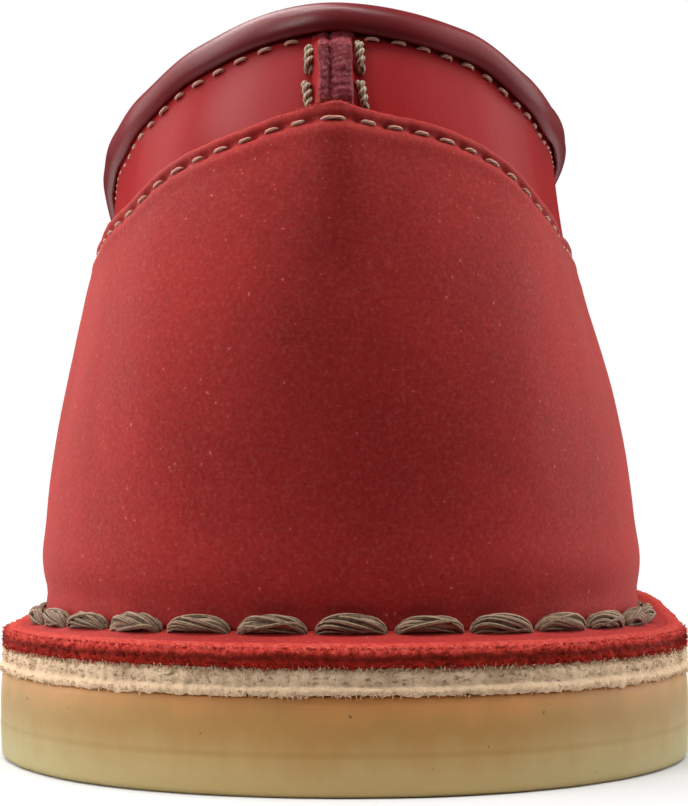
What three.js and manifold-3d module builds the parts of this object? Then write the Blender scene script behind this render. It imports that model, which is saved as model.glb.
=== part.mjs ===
// Left lace-up shoe of stitched-down construction on a flat crepe sole.
// Millimetres, +Z up, toe along +Y, the shoe's inner side along +X, standing on Z = 0.
import * as THREE from "three";
import { mergeVertices } from "three/addons/utils/BufferGeometryUtils.js";
import Module from "manifold-3d";

const wasm = await Module();
wasm.setup();
const { Manifold, Mesh } = wasm;

// Driving sizes
const lastLength = 286;
const heelRound = 34;
const heelSquareness = 2.1;
const toeRound = 72;
const toeSquareness = 2.15;
const crepeTop = 9.6;
const crepeLower = 4.0;
const crepeEdge = 2.4;
const crepeStep = 0.35;
const layerGap = 0.3;
const midsoleThick = 2.2;
const insoleThick = 2.8;
const wallThick = 1.8;
const flangeThick = 2.1;
const featherRise = 4.2;
const quarterThick = 1.4;
const counterThick = 1.3;
const heelLean = 0.02;
const toeSpring = 9;
const springStart = 205;
const facingGap = 6.5;
const liningGap = 9;
const throatEnd = 178;
const throatRound = 11;
const quarterFootY = 150;
const quarterCornerY = 193;
const quarterCornerRound = 9;
const eyeletReach = 14;
const eyeletRadius = 2.3;
const eyeletStations = [130, 146.5, 163, 179.5];
const laceRadius = 1.5;
const seamHalfWidth = 2.05;
const seamProud = 2.3;
const seamGroove = 0.8;
const seamTop = 74.8;

// Levels above the floor, built up from the sizes above
const midsoleBottom = crepeTop + layerGap;
const midsoleTop = midsoleBottom + midsoleThick;
const flangeBottom = midsoleTop + layerGap;
const featherLevel = flangeBottom + featherRise;
const quarterInside = layerGap + 0.18;
const quarterOutside = quarterInside + quarterThick;
const counterInside = quarterOutside + layerGap + 0.1;
const counterOutside = counterInside + counterThick;

// Rows of values under named columns
function table(columns, rows) {
  return rows.map((row) => Object.fromEntries(columns.map((name, i) => [name, row[i]])));
}

// Plan of the wall on the feather line: half-widths to each side of the foot's centre line
const planSections = table(
  ["at", "centre", "outer", "inner"],
  [
    [0, 0, 30.6, 30.6],
    [40, 0, 30.8, 30.4],
    [85, -0.5, 30.2, 27.4],
    [125, -1, 34, 28.2],
    [160, -1, 41, 35.5],
    [195, 0.5, 47, 44.5],
    [225, 3, 49.5, 46.5],
    [255, 5.5, 49, 45.5],
    [286, 7, 47, 44],
  ],
);

// Wall sections round the last. Each stands in an upright plane from the centre line at axis
// through the feather line at at: reach and top place its upper edge, rise and bulge its lower
// handle, spread and drop its upper handle, margin the sole's edge beyond the wall.
const lastSections = table(
  ["at", "axis", "reach", "outerTop", "innerTop", "rise", "bulge", "spread", "drop", "margin"],
  [
    [0, 42, 37.2, 77.1, 77.1, 22, 4.7, 9.6, 18.1, 9.3],
    [4, 42.3, 34, 74.5, 76, 21.7, 3.7, 7.5, 17.9, 8.9],
    [11, 42.9, 31.5, 71.4, 73.4, 21, 1.6, 4.2, 18.1, 8.5],
    [22, 44, 28, 69.6, 72, 20.5, 1.2, 0.4, 18.3, 8.2],
    [40, 46, 25.3, 68.2, 71.8, 20, 1.1, 0.8, 17.2, 8.1],
    [70, 66, 26.2, 65.4, 71.4, 19, 0.5, -0.6, 16, 7.9],
    [94, 91, 23, 70.6, 73.2, 22, 0.6, 3.4, 14, 7.6],
    [106, 104, 16, 77.5, 78.6, 25, 0.8, 9, 8, 7.3],
    [116, 115, 7, 85, 85.3, 28, 1, 13, 3.4, 7.2],
    [124, 124, 0, 88.2, 88.2, 29, 1, 17, 0, 7.1],
    [150, 150, 0, 77, 77, 28, 1.2, 19, 0, 6.8],
    [176, 175, 0, 67, 67, 25, 1.6, 22, 0, 6.5],
    [205, 201, 0, 58.5, 58.5, 22, 1.8, 25, 0, 6.4],
    [240, 230, 0, 51, 51, 19, 2, 24, 0, 6.3],
    [268, 248, 0, 47.3, 47.3, 18, 2, 18, 0, 6.3],
    [286, 256, 0, 45.7, 45.7, 17, 2, 15, 0, 6.3],
  ],
);

// Raw top edge of the heel counter: height above the floor along the feather line
const counterEdge = table(
  ["at", "height"],
  [
    [0, 66.9],
    [1, 65.9],
    [4, 63.5],
    [9, 59.9],
    [20, 57],
    [45, 56.4],
    [80, 49],
    [106, 35],
    [124, 18.6],
  ],
);

// Tongue along the foot: how far its top face lies under the last's ridge line, and its half-width
const tongueSections = table(
  ["at", "under", "half"],
  [
    [98, 7, 5],
    [101, 7, 7.6],
    [106, 6.8, 9],
    [112, 6.4, 9.5],
    [122, 5.4, 12],
    [132, 4, 16],
    [142, 3.4, 17],
    [170, 3.5, 18],
    [196, 3.7, 17],
  ],
);
const tongueThick = 2.2;

// Monotone curve through a table's column, level at both ends.
function column(table, place, name) {
  const x = table.map(place);
  const y = table.map((row) => row[name]);
  const step = x.slice(1).map((value, i) => (y[i + 1] - y[i]) / (value - x[i]));
  const slope = y.map((value, i) => {
    if (i === 0 || i === y.length - 1 || step[i - 1] * step[i] <= 0) {
      return 0;
    }
    return (2 * step[i - 1] * step[i]) / (step[i - 1] + step[i]);
  });
  return (at) => {
    const inside = Math.min(Math.max(at, x[0]), x[x.length - 1]);
    const last = x.findIndex((value, i) => i > 0 && inside <= value);
    const i = last - 1;
    const width = x[last] - x[i];
    const f = (inside - x[i]) / width;
    const g = 1 - f;
    const value = y[i] * g * g * (1 + 2 * f) + y[last] * f * f * (3 - 2 * f);
    return value + width * f * g * (slope[i] * g - slope[last] * f);
  };
}

// Places round the last run from 0 at the back to 1 at the toe, outer side negative.
const stationOf = (y) => Math.acos(1 - (2 * y) / lastLength) / Math.PI;
const stationY = (u) => (lastLength * (1 - Math.cos(Math.PI * u))) / 2;
const alongY = (row) => row.at;
const alongLast = (row) => stationOf(row.at);
const plan = {};
for (const name of ["centre", "outer", "inner"]) {
  plan[name] = column(planSections, alongY, name);
}
const last = {};
for (const name of Object.keys(lastSections[0]).filter((key) => key !== "at")) {
  last[name] = column(lastSections, alongLast, name);
}
const counterHeight = column(counterEdge, alongY, "height");
const tongueUnder = column(tongueSections, alongY, "under");
const tongueHalf = column(tongueSections, alongY, "half");

// Lift of the sole's layers toward the toe.
function lift(y) {
  const f = Math.max(0, (y - springStart) / (lastLength + 6.3 - springStart));
  return toeSpring * f * f;
}

// Roundness of the heel and toe ends, 1 along the middle of the foot.
function endRound(y) {
  const heel = Math.max(0, 1 - y / heelRound);
  const toe = Math.max(0, (y - lastLength + toeRound) / toeRound);
  const heelWidth = (1 - heel ** heelSquareness) ** (1 / heelSquareness);
  return heelWidth * (1 - Math.min(1, toe) ** toeSquareness) ** (1 / toeSquareness);
}

const wrap = (v) => (v > 1 ? v - 2 : v < -1 ? v + 2 : v);

// Plan point of the wall's foot on the feather line.
function foot(v) {
  const turn = wrap(v);
  const y = stationY(Math.abs(turn));
  const half = turn < 0 ? -plan.outer(y) : plan.inner(y);
  return new THREE.Vector2(plan.centre(y) + half * endRound(y), y);
}

// Outward direction across the feather line in plan.
function across(v) {
  const along = foot(v + 1e-4).sub(foot(v - 1e-4)).normalize();
  return new THREE.Vector2(along.y, -along.x);
}

// One wall section: plan origin, outward direction and the four handles as distance out and height.
function section(v) {
  const turn = wrap(v);
  const u = Math.abs(turn);
  const base = foot(turn);
  const origin = new THREE.Vector2(plan.centre(last.axis(u)), last.axis(u));
  const out = base.clone().sub(origin);
  const width = out.length();
  out.divideScalar(width);
  const low = featherLevel + lift(base.y);
  const high = turn < 0 ? last.outerTop(u) : last.innerTop(u);
  const reach = last.reach(u);
  let drop = last.drop(u);
  if (reach === 0) {
    drop += last.spread(u) * out.y * -ridgeSlope(u);
  }
  const handles = [
    new THREE.Vector2(width, low),
    new THREE.Vector2(width + last.bulge(u), low + last.rise(u)),
    new THREE.Vector2(reach + last.spread(u), high - drop),
    new THREE.Vector2(reach, high),
  ];
  return { origin, out, handles };
}

// Slope of the last's ridge line along the foot.
function ridgeSlope(u) {
  const ahead = Math.min(u, 0.985) + 0.004;
  const behind = ahead - 0.008;
  return (last.innerTop(ahead) - last.innerTop(behind)) / (last.axis(ahead) - last.axis(behind));
}

// Distance out and height at a fraction of the way up a section.
function climb({ handles }, t) {
  const g = 1 - t;
  const weights = [g * g * g, 3 * g * g * t, 3 * g * t * t, t * t * t];
  const spot = new THREE.Vector2();
  handles.forEach((handle, i) => spot.addScaledVector(handle, weights[i]));
  return spot;
}

// The upper leans a little to its outer side as it rises.
const lean = (height) => heelLean * Math.max(0, height - featherLevel);

function onLast(v, t) {
  const cut = section(v);
  const spot = climb(cut, t);
  const x = cut.origin.x + cut.out.x * spot.x - lean(spot.y);
  return new THREE.Vector3(x, cut.origin.y + cut.out.y * spot.x, spot.y);
}

// Outward direction of the last's surface.
function outward(v, t) {
  const u = Math.abs(wrap(v));
  if (t > 0.999 && last.reach(u) === 0) {
    return new THREE.Vector3(0, -ridgeSlope(u), 1).normalize();
  }
  const along = onLast(v + 2e-4, t).sub(onLast(v - 2e-4, t));
  const up = onLast(v, t + 2e-4).sub(onLast(v, t - 2e-4));
  return along.cross(up).normalize();
}

const offLast = (v, t, offset) => onLast(v, t).addScaledVector(outward(v, t), offset);

// Fraction up a section where it passes a height, or comes within a distance of the centre line.
function fractionWhere(v, passed) {
  const cut = section(v);
  let low = 0;
  let high = 1;
  for (let i = 0; i < 40; i++) {
    const middle = (low + high) / 2;
    if (passed(climb(cut, middle))) {
      high = middle;
    } else {
      low = middle;
    }
  }
  return (low + high) / 2;
}

const atHeight = (v, height) => fractionWhere(v, (spot) => spot.y >= height);
const atReach = (v, reach) => fractionWhere(v, (spot) => spot.x <= reach);

// A point of the sole's layers: a distance beyond the feather line at a level.
function onSole(v, beyond, level) {
  const spot = foot(v).addScaledVector(across(v), beyond);
  return new THREE.Vector3(spot.x, spot.y, level + lift(spot.y));
}

const margin = (v) => last.margin(Math.abs(wrap(v)));

// Evenly spaced numbers from one end to the other.
function spaced(from, to, steps) {
  return Array.from({ length: steps + 1 }, (_, i) => from + ((to - from) * i) / steps);
}

// Triangles gathered into one closed body.
class Skin {
  constructor() {
    this.corners = [];
  }

  triangle(a, b, c) {
    const apart = Math.min(a.distanceTo(b), b.distanceTo(c), c.distanceTo(a));
    if (apart > 2e-3) {
      this.corners.push(...a.toArray(), ...b.toArray(), ...c.toArray());
    }
  }

  sheet(rows, flip = false) {
    for (let i = 0; i + 1 < rows.length; i++) {
      for (let j = 0; j + 1 < rows[i].length; j++) {
        const cell = [rows[i][j], rows[i][j + 1], rows[i + 1][j + 1], rows[i + 1][j]];
        const [a, b, c, d] = flip ? cell.reverse() : cell;
        this.triangle(a, b, c);
        this.triangle(a, c, d);
      }
    }
  }

  geometry() {
    const raw = new THREE.BufferGeometry();
    raw.setAttribute("position", new THREE.Float32BufferAttribute(this.corners, 3));
    const geometry = mergeVertices(raw, 1e-3);
    return faceOut(geometry);
  }
}

// Turns a closed body's faces outward.
function faceOut(geometry) {
  if (signedVolume(geometry) < 0) {
    const index = geometry.getIndex();
    for (let i = 0; i < index.count; i += 3) {
      const first = index.getX(i);
      index.setX(i, index.getX(i + 1));
      index.setX(i + 1, first);
    }
  }
  return geometry;
}

function signedVolume(geometry) {
  const place = geometry.getAttribute("position");
  const index = geometry.getIndex();
  const [a, b, c] = [new THREE.Vector3(), new THREE.Vector3(), new THREE.Vector3()];
  let volume = 0;
  for (let i = 0; i < index.count; i += 3) {
    a.fromBufferAttribute(place, index.getX(i));
    b.fromBufferAttribute(place, index.getX(i + 1));
    c.fromBufferAttribute(place, index.getX(i + 2));
    volume += a.dot(b.cross(c)) / 6;
  }
  return volume;
}

// A sheet of leather between two faces given as matching grids of points.
function panel(outside, inside) {
  const skin = new Skin();
  const end = outside.length - 1;
  const edge = (grid, j) => grid.map((row) => row.at(j));
  skin.sheet(outside);
  skin.sheet(inside, true);
  skin.sheet([inside[0], outside[0]]);
  skin.sheet([outside[end], inside[end]]);
  skin.sheet([edge(outside, 0), edge(inside, 0)]);
  skin.sheet([edge(inside, -1), edge(outside, -1)]);
  return skin.geometry();
}

// A section carried along stations, closed with flat ends.
function carried(outline, rings) {
  const skin = new Skin();
  skin.sheet(rings.map((ring) => [...ring, ring[0]]));
  const first = rings[0];
  const final = rings[rings.length - 1];
  for (const [a, b, c] of THREE.ShapeUtils.triangulateShape(outline, [])) {
    skin.triangle(first[c], first[b], first[a]);
    skin.triangle(final[a], final[b], final[c]);
  }
  return skin.geometry();
}

function toSolid(geometry) {
  const place = geometry.getAttribute("position");
  const mesh = new Mesh({
    numProp: 3,
    vertProperties: new Float32Array(place.array),
    triVerts: new Uint32Array(geometry.getIndex().array),
  });
  mesh.merge();
  return new Manifold(mesh);
}

// A closed solid from one of the stock shapes.
function stock(geometry) {
  geometry.deleteAttribute("uv");
  geometry.deleteAttribute("normal");
  return toSolid(faceOut(mergeVertices(geometry, 1e-4)));
}

function fromSolid(solid) {
  const mesh = solid.getMesh();
  const geometry = new THREE.BufferGeometry();
  geometry.setAttribute("position", new THREE.BufferAttribute(new Float32Array(mesh.vertProperties), 3));
  geometry.setIndex(new THREE.BufferAttribute(new Uint32Array(mesh.triVerts), 1));
  return geometry;
}

// The largest body of a joined solid, without the specks left where two faces graze.
function mainBody(solid) {
  const bodies = toSolid(mergeVertices(fromSolid(solid), 1e-3)).decompose();
  bodies.sort((a, b) => b.volume() - a.volume());
  return fromSolid(bodies[0]);
}

const shoe = new THREE.Group();

function add(name, geometry, colour, roughness) {
  geometry.computeVertexNormals();
  const material = new THREE.MeshStandardMaterial({ color: colour, roughness });
  material.name = name;
  const mesh = new THREE.Mesh(geometry, material);
  mesh.name = name;
  shoe.add(mesh);
}

// Place where the facing's edge meets the collar
function facingCorner() {
  let low = stationOf(94);
  let high = stationOf(124);
  for (let i = 0; i < 40; i++) {
    const middle = (low + high) / 2;
    if (last.reach(middle) > facingGap) {
      low = middle;
    } else {
      high = middle;
    }
  }
  return low;
}

// Places round the last, shared by the pieces that lie on one another
const cornerStation = facingCorner();
const vampTop = stationOf(throatEnd);
const collarHalf = [...spaced(0, stationOf(94), 9), ...spaced(stationOf(94), cornerStation, 6).slice(1)];
const climbShares = [0, 0.12, 0.24, 0.36, 0.48, 0.6, 0.72, 0.83, 0.92, 1];
const facingShares = [0.05, 0.11, 0.23, 0.36, 0.49, 0.62, 0.75, 0.88, 1];
const halfRound = [
  ...collarHalf,
  ...facingShares.map((f) => cornerStation + (vampTop - cornerStation) * f),
  ...spaced(vampTop, 1, 11).slice(1),
];
const mirrored = (half) => [...half.slice(1).reverse().map((u) => -u), ...half];
const round = mirrored(halfRound);
const soleHalf = spaced(0, 1, 26);
const soleRound = mirrored(soleHalf);

// A flat layer of the sole from stacked outlines, each a distance beyond the wall at a level
function soleLayer(profile, cells) {
  const skin = new Skin();
  const rings = profile.map(({ beyond, level }) => soleRound.map((v) => onSole(v, beyond(v), level)));
  skin.sheet(rings);
  const half = soleHalf.length - 1;
  const cap = (ring, level, flip) => {
    const rungs = spaced(0, half, half).map((k) => {
      const from = ring[k];
      const to = ring[2 * half - k];
      return spaced(0, 1, cells).map((f) => {
        if (f === 0 || f === 1) {
          return f === 0 ? from : to;
        }
        const spot = from.clone().lerp(to, f);
        return spot.setZ(level + lift(spot.y));
      });
    });
    skin.sheet(rungs, flip);
  };
  cap(rings[0], profile[0].level, false);
  cap(rings[rings.length - 1], profile[profile.length - 1].level, true);
  return skin.geometry();
}

const past = (extra) => (v) => margin(v) + extra;

const outsole = soleLayer(
  [
    { beyond: past(-crepeEdge), level: 0 },
    { beyond: past(-crepeEdge * 0.3), level: crepeEdge * 0.3 },
    { beyond: past(0.15), level: crepeEdge },
    { beyond: past(crepeStep), level: crepeLower },
    { beyond: past(0), level: crepeLower + 0.15 },
    { beyond: past(0.25), level: crepeLower + 2.4 },
    { beyond: past(-0.1), level: crepeTop },
  ],
  4,
);
const midsole = soleLayer(
  [
    { beyond: past(-0.35), level: midsoleBottom },
    { beyond: past(-0.2), level: midsoleBottom + midsoleThick / 2 },
    { beyond: past(-0.5), level: midsoleTop },
  ],
  2,
);
const insole = soleLayer(
  [
    { beyond: () => -wallThick - layerGap - 0.35, level: flangeBottom },
    { beyond: () => -wallThick - layerGap - 0.35, level: flangeBottom + insoleThick },
  ],
  2,
);

// Top edge of the upper's wall: the collar, then the throat, then closed over the toes
function wallTop(v) {
  const u = Math.abs(v);
  const y = stationY(u);
  if (y > throatEnd - 1e-6) {
    return 1;
  }
  const f = Math.max(0, (y - throatEnd + throatRound) / throatRound);
  const gap = liningGap * Math.sqrt(Math.max(0, 1 - f * f));
  return last.reach(u) >= gap ? 1 : atReach(v, gap);
}

function upperBody() {
  const skin = new Skin();
  const rows = [];
  for (const f of spaced(1, 0, 6)) {
    rows.push(round.map((v) => offLast(v, wallTop(v) * f, -wallThick)));
  }
  const flange = [
    { beyond: () => -wallThick, level: flangeBottom },
    { beyond: past(-0.6), level: flangeBottom },
    { beyond: past(0), level: flangeBottom + flangeThick * 0.45 },
    { beyond: past(-0.5), level: flangeBottom + flangeThick },
    { beyond: () => 4.3, level: flangeBottom + flangeThick + 0.6 },
    { beyond: () => 1.3, level: flangeBottom + flangeThick + 1 },
  ];
  for (const { beyond, level } of flange) {
    rows.push(round.map((v) => onSole(v, beyond(v), level)));
  }
  for (const f of climbShares) {
    rows.push(round.map((v) => onLast(v, wallTop(v) * f)));
  }
  skin.sheet(rows);
  const open = round.map((v, j) => j).filter((j) => Math.abs(round[j]) < vampTop + 1e-6);
  const rim = (row) => open.map((j) => row[j]);
  skin.sheet([rim(rows[rows.length - 1]), rim(rows[0])]);
  return skin.geometry();
}

// Holes for the lace through the facings
function punches() {
  const tools = [];
  for (const side of [-1, 1]) {
    for (const y of eyeletStations) {
      const v = side * stationOf(y);
      const t = atReach(v, eyeletReach);
      const bore = new THREE.CylinderGeometry(eyeletRadius, eyeletRadius, 14, 8);
      const turn = new THREE.Quaternion().setFromUnitVectors(new THREE.Vector3(0, 1, 0), outward(v, t));
      bore.applyQuaternion(turn);
      bore.translate(...onLast(v, t).toArray());
      tools.push(stock(bore));
    }
  }
  return tools;
}

const holes = Manifold.union(punches());

// Front edge of a quarter, from the feather line up to its rounded throat corner
function quarterFront(d) {
  const start = 0.86;
  const f = Math.max(0, (d - start) / (1 - start));
  const corner = quarterCornerRound * (1 - Math.sqrt(1 - f * f));
  const sweep = (quarterCornerY - quarterFootY) * Math.sin((Math.PI * d) / 2);
  return stationOf(quarterFootY + sweep - corner);
}

function quarterBody(side) {
  const columns = [...collarHalf.map((u) => [u, 0]), ...facingShares.map((f) => [cornerStation, f])];
  const grid = (offset) =>
    climbShares.map((d) =>
      columns.map(([start, facing]) => {
        const u = start + (quarterFront(d) - start) * facing;
        const v = side * u;
        const high = last.reach(u) >= facingGap - 1e-6 ? 1 : atReach(v, facingGap);
        const spot = offLast(v, high * d + 0.004 * (1 - d), offset);
        return u === 0 ? spot.setX(spot.x + (side * layerGap) / 2) : spot;
      }),
    );
  return panel(grid(quarterOutside), grid(quarterInside));
}

// Heel counter, laid over both quarters.
function counterBody() {
  const end = stationOf(counterEdge[counterEdge.length - 1].at);
  const turns = mirrored([...collarHalf, end]);
  const grid = (offset) =>
    spaced(0, 1, 6).map((d) =>
      turns.map((v) => {
        const high = atHeight(v, counterHeight(stationY(Math.abs(v))));
        return offLast(v, high * d - 0.005 * (1 - d), offset);
      }),
    );
  return panel(grid(counterOutside), grid(counterInside));
}

// Binding folded over the collar: a channel whose slot takes the wall and the quarter.
const bindingOutline = [
  [-wallThick - 0.75, -1.3],
  [-wallThick - 0.6, 0.7],
  [quarterOutside + 0.4, 0.7],
  [quarterOutside + 0.45, -1.5],
  [quarterOutside + 1.35, -1.6],
  [quarterOutside + 1.6, 0.4],
  [quarterOutside + 0.7, 2.1],
  [0.4, 3],
  [-1.9, 2.5],
  [-wallThick - 1.5, 0.9],
  [-wallThick - 1.65, -1.2],
].map(([a, b]) => new THREE.Vector2(a, b));

function bindingBody() {
  const stations = mirrored(collarHalf);
  const rings = stations.map((v) => {
    const spot = onLast(v, 1);
    const face = outward(v, 1);
    const up = onLast(v, 1).sub(onLast(v, 0.999)).normalize();
    return bindingOutline.map((p) => spot.clone().addScaledVector(face, p.x).addScaledVector(up, p.y));
  });
  return carried(bindingOutline, rings);
}

// Raised back seam: two raw edges side by side with a groove between them.
function seamBody() {
  const low = quarterOutside + layerGap;
  const high = low + seamProud;
  const outline = [
    [-seamHalfWidth, low],
    [seamHalfWidth, low],
    [seamHalfWidth, high - 0.5],
    [seamHalfWidth - 0.5, high],
    [0.45, high],
    [0, high - seamGroove],
    [-0.45, high],
    [0.5 - seamHalfWidth, high],
    [-seamHalfWidth, high - 0.5],
  ].map(([a, b]) => new THREE.Vector2(a, b));
  const from = atHeight(0, counterEdge[0].height + 0.5);
  const to = atHeight(0, seamTop);
  const rings = spaced(from, to, 6).map((t) => {
    const spot = onLast(0, t);
    const face = outward(0, t);
    return outline.map((p) => spot.clone().addScaledVector(face, p.y).add(new THREE.Vector3(p.x, 0, 0)));
  });
  return carried(outline, rings);
}

// Tongue: a sheet under the ridge line, bowed across like the instep, its free end past the facings.
function tongueBody() {
  const hinge = 122;
  const grid = (under) =>
    spaced(0, 1, 14).map((f) => {
      const y = 98 + (196 - 98) * f;
      const u = stationOf(Math.max(y, hinge));
      const slope = ridgeSlope(stationOf(hinge + 4));
      const ridge = last.innerTop(u) + (y < hinge ? slope * (y - hinge) * 0.6 : 0);
      const half = tongueHalf(y);
      const edge = climb(section(u), atReach(u, 22)).y;
      const bow = last.innerTop(u) - edge;
      return spaced(-1, 1, 6).map((c) => {
        const x = c * half;
        const z = ridge - tongueUnder(y) - under - bow * (x / 22) ** 2 * 1.02;
        return new THREE.Vector3(plan.centre(y) + x - lean(z), y, z);
      });
    });
  return panel(grid(0), grid(tongueThick));
}

// Lace: bars between the facings, joined at the holes.
function laceBody() {
  const corners = spaced(0, 2 * Math.PI, 6).slice(0, -1);
  const spoke = new THREE.Vector2(laceRadius, 0);
  const middle = new THREE.Vector2();
  const circle = new THREE.Shape(corners.map((a) => spoke.clone().rotateAround(middle, a)));
  const height = quarterOutside + 0.4 + laceRadius;
  const sag = (reach) => 1.2 * (1 - THREE.MathUtils.smoothstep(reach, 0, 7));
  const bar = (fromY, toY, over) => {
    const spots = spaced(-1, 1, 8).map((c) => {
      const y = fromY + ((toY - fromY) * (c + 1)) / 2;
      const v = (c < 0 ? -1 : 1) * stationOf(y);
      const reach = Math.abs(c) * eyeletReach;
      const t = reach === 0 ? 1 : atReach(v, reach);
      return offLast(v, t, height - sag(reach) + over * (1 - c * c) ** 2);
    });
    const path = new THREE.CatmullRomCurve3(spots);
    const cord = new THREE.ExtrudeGeometry(circle, { steps: 8, bevelEnabled: false, extrudePath: path });
    return stock(cord);
  };
  const first = eyeletStations.length - 1;
  const bars = [bar(eyeletStations[first], eyeletStations[first], 0)];
  for (const side of [-1, 1]) {
    for (const y of eyeletStations) {
      const v = side * stationOf(y);
      const turn = new THREE.IcosahedronGeometry(laceRadius * 1.25, 0);
      turn.translate(...offLast(v, atReach(v, eyeletReach), height).toArray());
      bars.push(stock(turn));
    }
  }
  for (let i = 0; i < first; i++) {
    bars.push(bar(eyeletStations[i], eyeletStations[i + 1], 0));
    bars.push(bar(eyeletStations[i + 1], eyeletStations[i], laceRadius * 1.15));
  }
  return mainBody(Manifold.union(bars).simplify(0.06));
}

const pierced = (geometry) => fromSolid(toSolid(geometry).subtract(holes));

add("outsole", outsole, 0xb58a4c, 0.6);
add("midsole", midsole, 0xc9b191, 0.9);
add("insole", insole, 0xb08a60, 0.8);
add("upper", pierced(upperBody()), 0xa32f33, 0.7);
add("quarter_outer", pierced(quarterBody(-1)), 0xa83438, 0.65);
add("quarter_inner", pierced(quarterBody(1)), 0xa83438, 0.65);
add("heel_counter", counterBody(), 0x9c2b30, 0.75);
add("collar_binding", bindingBody(), 0x7a2e34, 0.6);
add("back_seam", seamBody(), 0x6b2630, 0.7);
add("tongue", tongueBody(), 0x9c2b30, 0.75);
add("lace", laceBody(), 0x8a7461, 0.85);

// The frame's origin is the middle of the shoe's outline on the floor.
const box = new THREE.Box3().setFromObject(shoe);
const middle = box.getCenter(new THREE.Vector3());
for (const mesh of shoe.children) {
  mesh.geometry.translate(-middle.x, -middle.y, 0);
}

export default shoe;
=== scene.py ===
"""Leather, crepe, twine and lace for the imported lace-up shoe, and the plain studio it stands in."""

import math

import bmesh
import bpy
import numpy as np
from bpy.props import FloatProperty, FloatVectorProperty, IntProperty, PointerProperty
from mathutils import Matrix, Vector, noise


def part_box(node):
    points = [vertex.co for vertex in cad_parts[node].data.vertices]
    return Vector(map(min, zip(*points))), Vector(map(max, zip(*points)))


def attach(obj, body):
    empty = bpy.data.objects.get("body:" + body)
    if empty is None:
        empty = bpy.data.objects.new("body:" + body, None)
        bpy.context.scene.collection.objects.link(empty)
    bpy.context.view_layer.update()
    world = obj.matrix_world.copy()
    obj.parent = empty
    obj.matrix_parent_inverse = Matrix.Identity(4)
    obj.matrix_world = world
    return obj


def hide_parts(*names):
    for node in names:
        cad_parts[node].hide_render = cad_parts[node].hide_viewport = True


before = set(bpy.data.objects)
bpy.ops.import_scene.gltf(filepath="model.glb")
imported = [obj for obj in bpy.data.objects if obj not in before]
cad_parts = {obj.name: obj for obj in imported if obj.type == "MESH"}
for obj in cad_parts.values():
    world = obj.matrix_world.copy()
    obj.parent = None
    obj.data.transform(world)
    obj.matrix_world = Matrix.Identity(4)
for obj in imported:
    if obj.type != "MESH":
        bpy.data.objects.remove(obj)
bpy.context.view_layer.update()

bl_info = {
    "name": "Stitched-down lace-up shoe",
    "version": (1, 0, 0),
    "blender": (4, 5, 0),
    "location": "View3D > Sidebar > Shoe",
    "description": "Dresses the solids of a crepe-soled lace-up shoe in leather, twine and lace",
    "category": "Object",
}

MM = 0.001

# The last that the solids were cut from, in millimetres: toe along +Y, outer side towards -X.
LAST_LENGTH = 286.0
HEEL_ROUND, HEEL_SQUARENESS = 34.0, 2.1
TOE_ROUND, TOE_SQUARENESS = 72.0, 2.15
TOE_SPRING, SPRING_START = 9.0, 205.0
HEEL_LEAN = 0.02
CREPE_TOP = 9.6
FLANGE_BOTTOM = 12.4
FLANGE_TOP = 14.5
FEATHER = 16.6
WALL = 1.8
QUARTER_IN, QUARTER_OUT = 0.48, 1.88
COUNTER_IN, COUNTER_OUT = 2.28, 3.58
FACING_GAP, LINING_GAP = 6.5, 9.0
THROAT_END, THROAT_ROUND = 178.0, 11.0
QUARTER_FOOT, QUARTER_CORNER, QUARTER_CORNER_ROUND = 150.0, 193.0, 9.0
EYELET_REACH, EYELET_RADIUS = 14.0, 2.3
EYELETS = (130.0, 146.5, 163.0, 179.5)
SEAM_HALF, SEAM_PROUD, SEAM_TOP = 2.05, 2.3, 74.8
BACK_STITCH, FIRST_STITCH = 2.9, 3.8
TONGUE_THICK = 2.2
# The flange's top: rounded off at its brink, and curved up the wall from ROOT_END in to ROOT_START.
FLANGE_ROUND = 0.8
ROOT_START, ROOT_END, ROOT_TOP = 0.25, 4.3, 16.35
# How much wider the flange lies along the waist and how far its edge turns up there, inner side and outer.
WAIST_FLARE = 3.0, 1.6
WAIST_CURL = 2.8, 0.7
# Half the width over which the back seam lifts the counter, and how far below the edge that fades out.
SWELL_HALF, SWELL_FADE = 3.0, 17.0
# Ridges round each strand of yarn.
YARN_RIDGES = 4

# Lower edges of the quarters and the counter, down on the flange, and the stitches' inset at the fronts.
QUARTER_LOW, COUNTER_LOW = 15.35, 15.22
FRONT_INSET = 2.6
# The cuts that the height marks run over: foot and height of the midsole's, height of the flange's.
MIDSOLE_FOOT, MIDSOLE_TALL, RAW_TALL = 9.7, 2.5, 2.2

# In metres: the distance within which points are one, the table's width and ends, and the camera's place
# beside the shoe's middle.
WELD = 3e-6
TABLE_WIDTH, TABLE_BACK, TABLE_FRONT = 1.0, -0.179, 0.281
CAMERA_ASIDE = 0.0001
# The camera's focal length and the picture's height in pixels, and its tilt in degrees.
FOCAL_PIXELS, PICTURE_HEIGHT, CAMERA_TILT = 1978.5, 806.0, 3.14
SENSOR_MM = 36.0

# at, centre, outer, inner
PLAN = (
    (0, 0, 30.6, 30.6),
    (40, 0, 30.8, 30.4),
    (85, -0.5, 30.2, 27.4),
    (125, -1, 34, 28.2),
    (160, -1, 41, 35.5),
    (195, 0.5, 47, 44.5),
    (225, 3, 49.5, 46.5),
    (255, 5.5, 49, 45.5),
    (286, 7, 47, 44),
)
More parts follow.
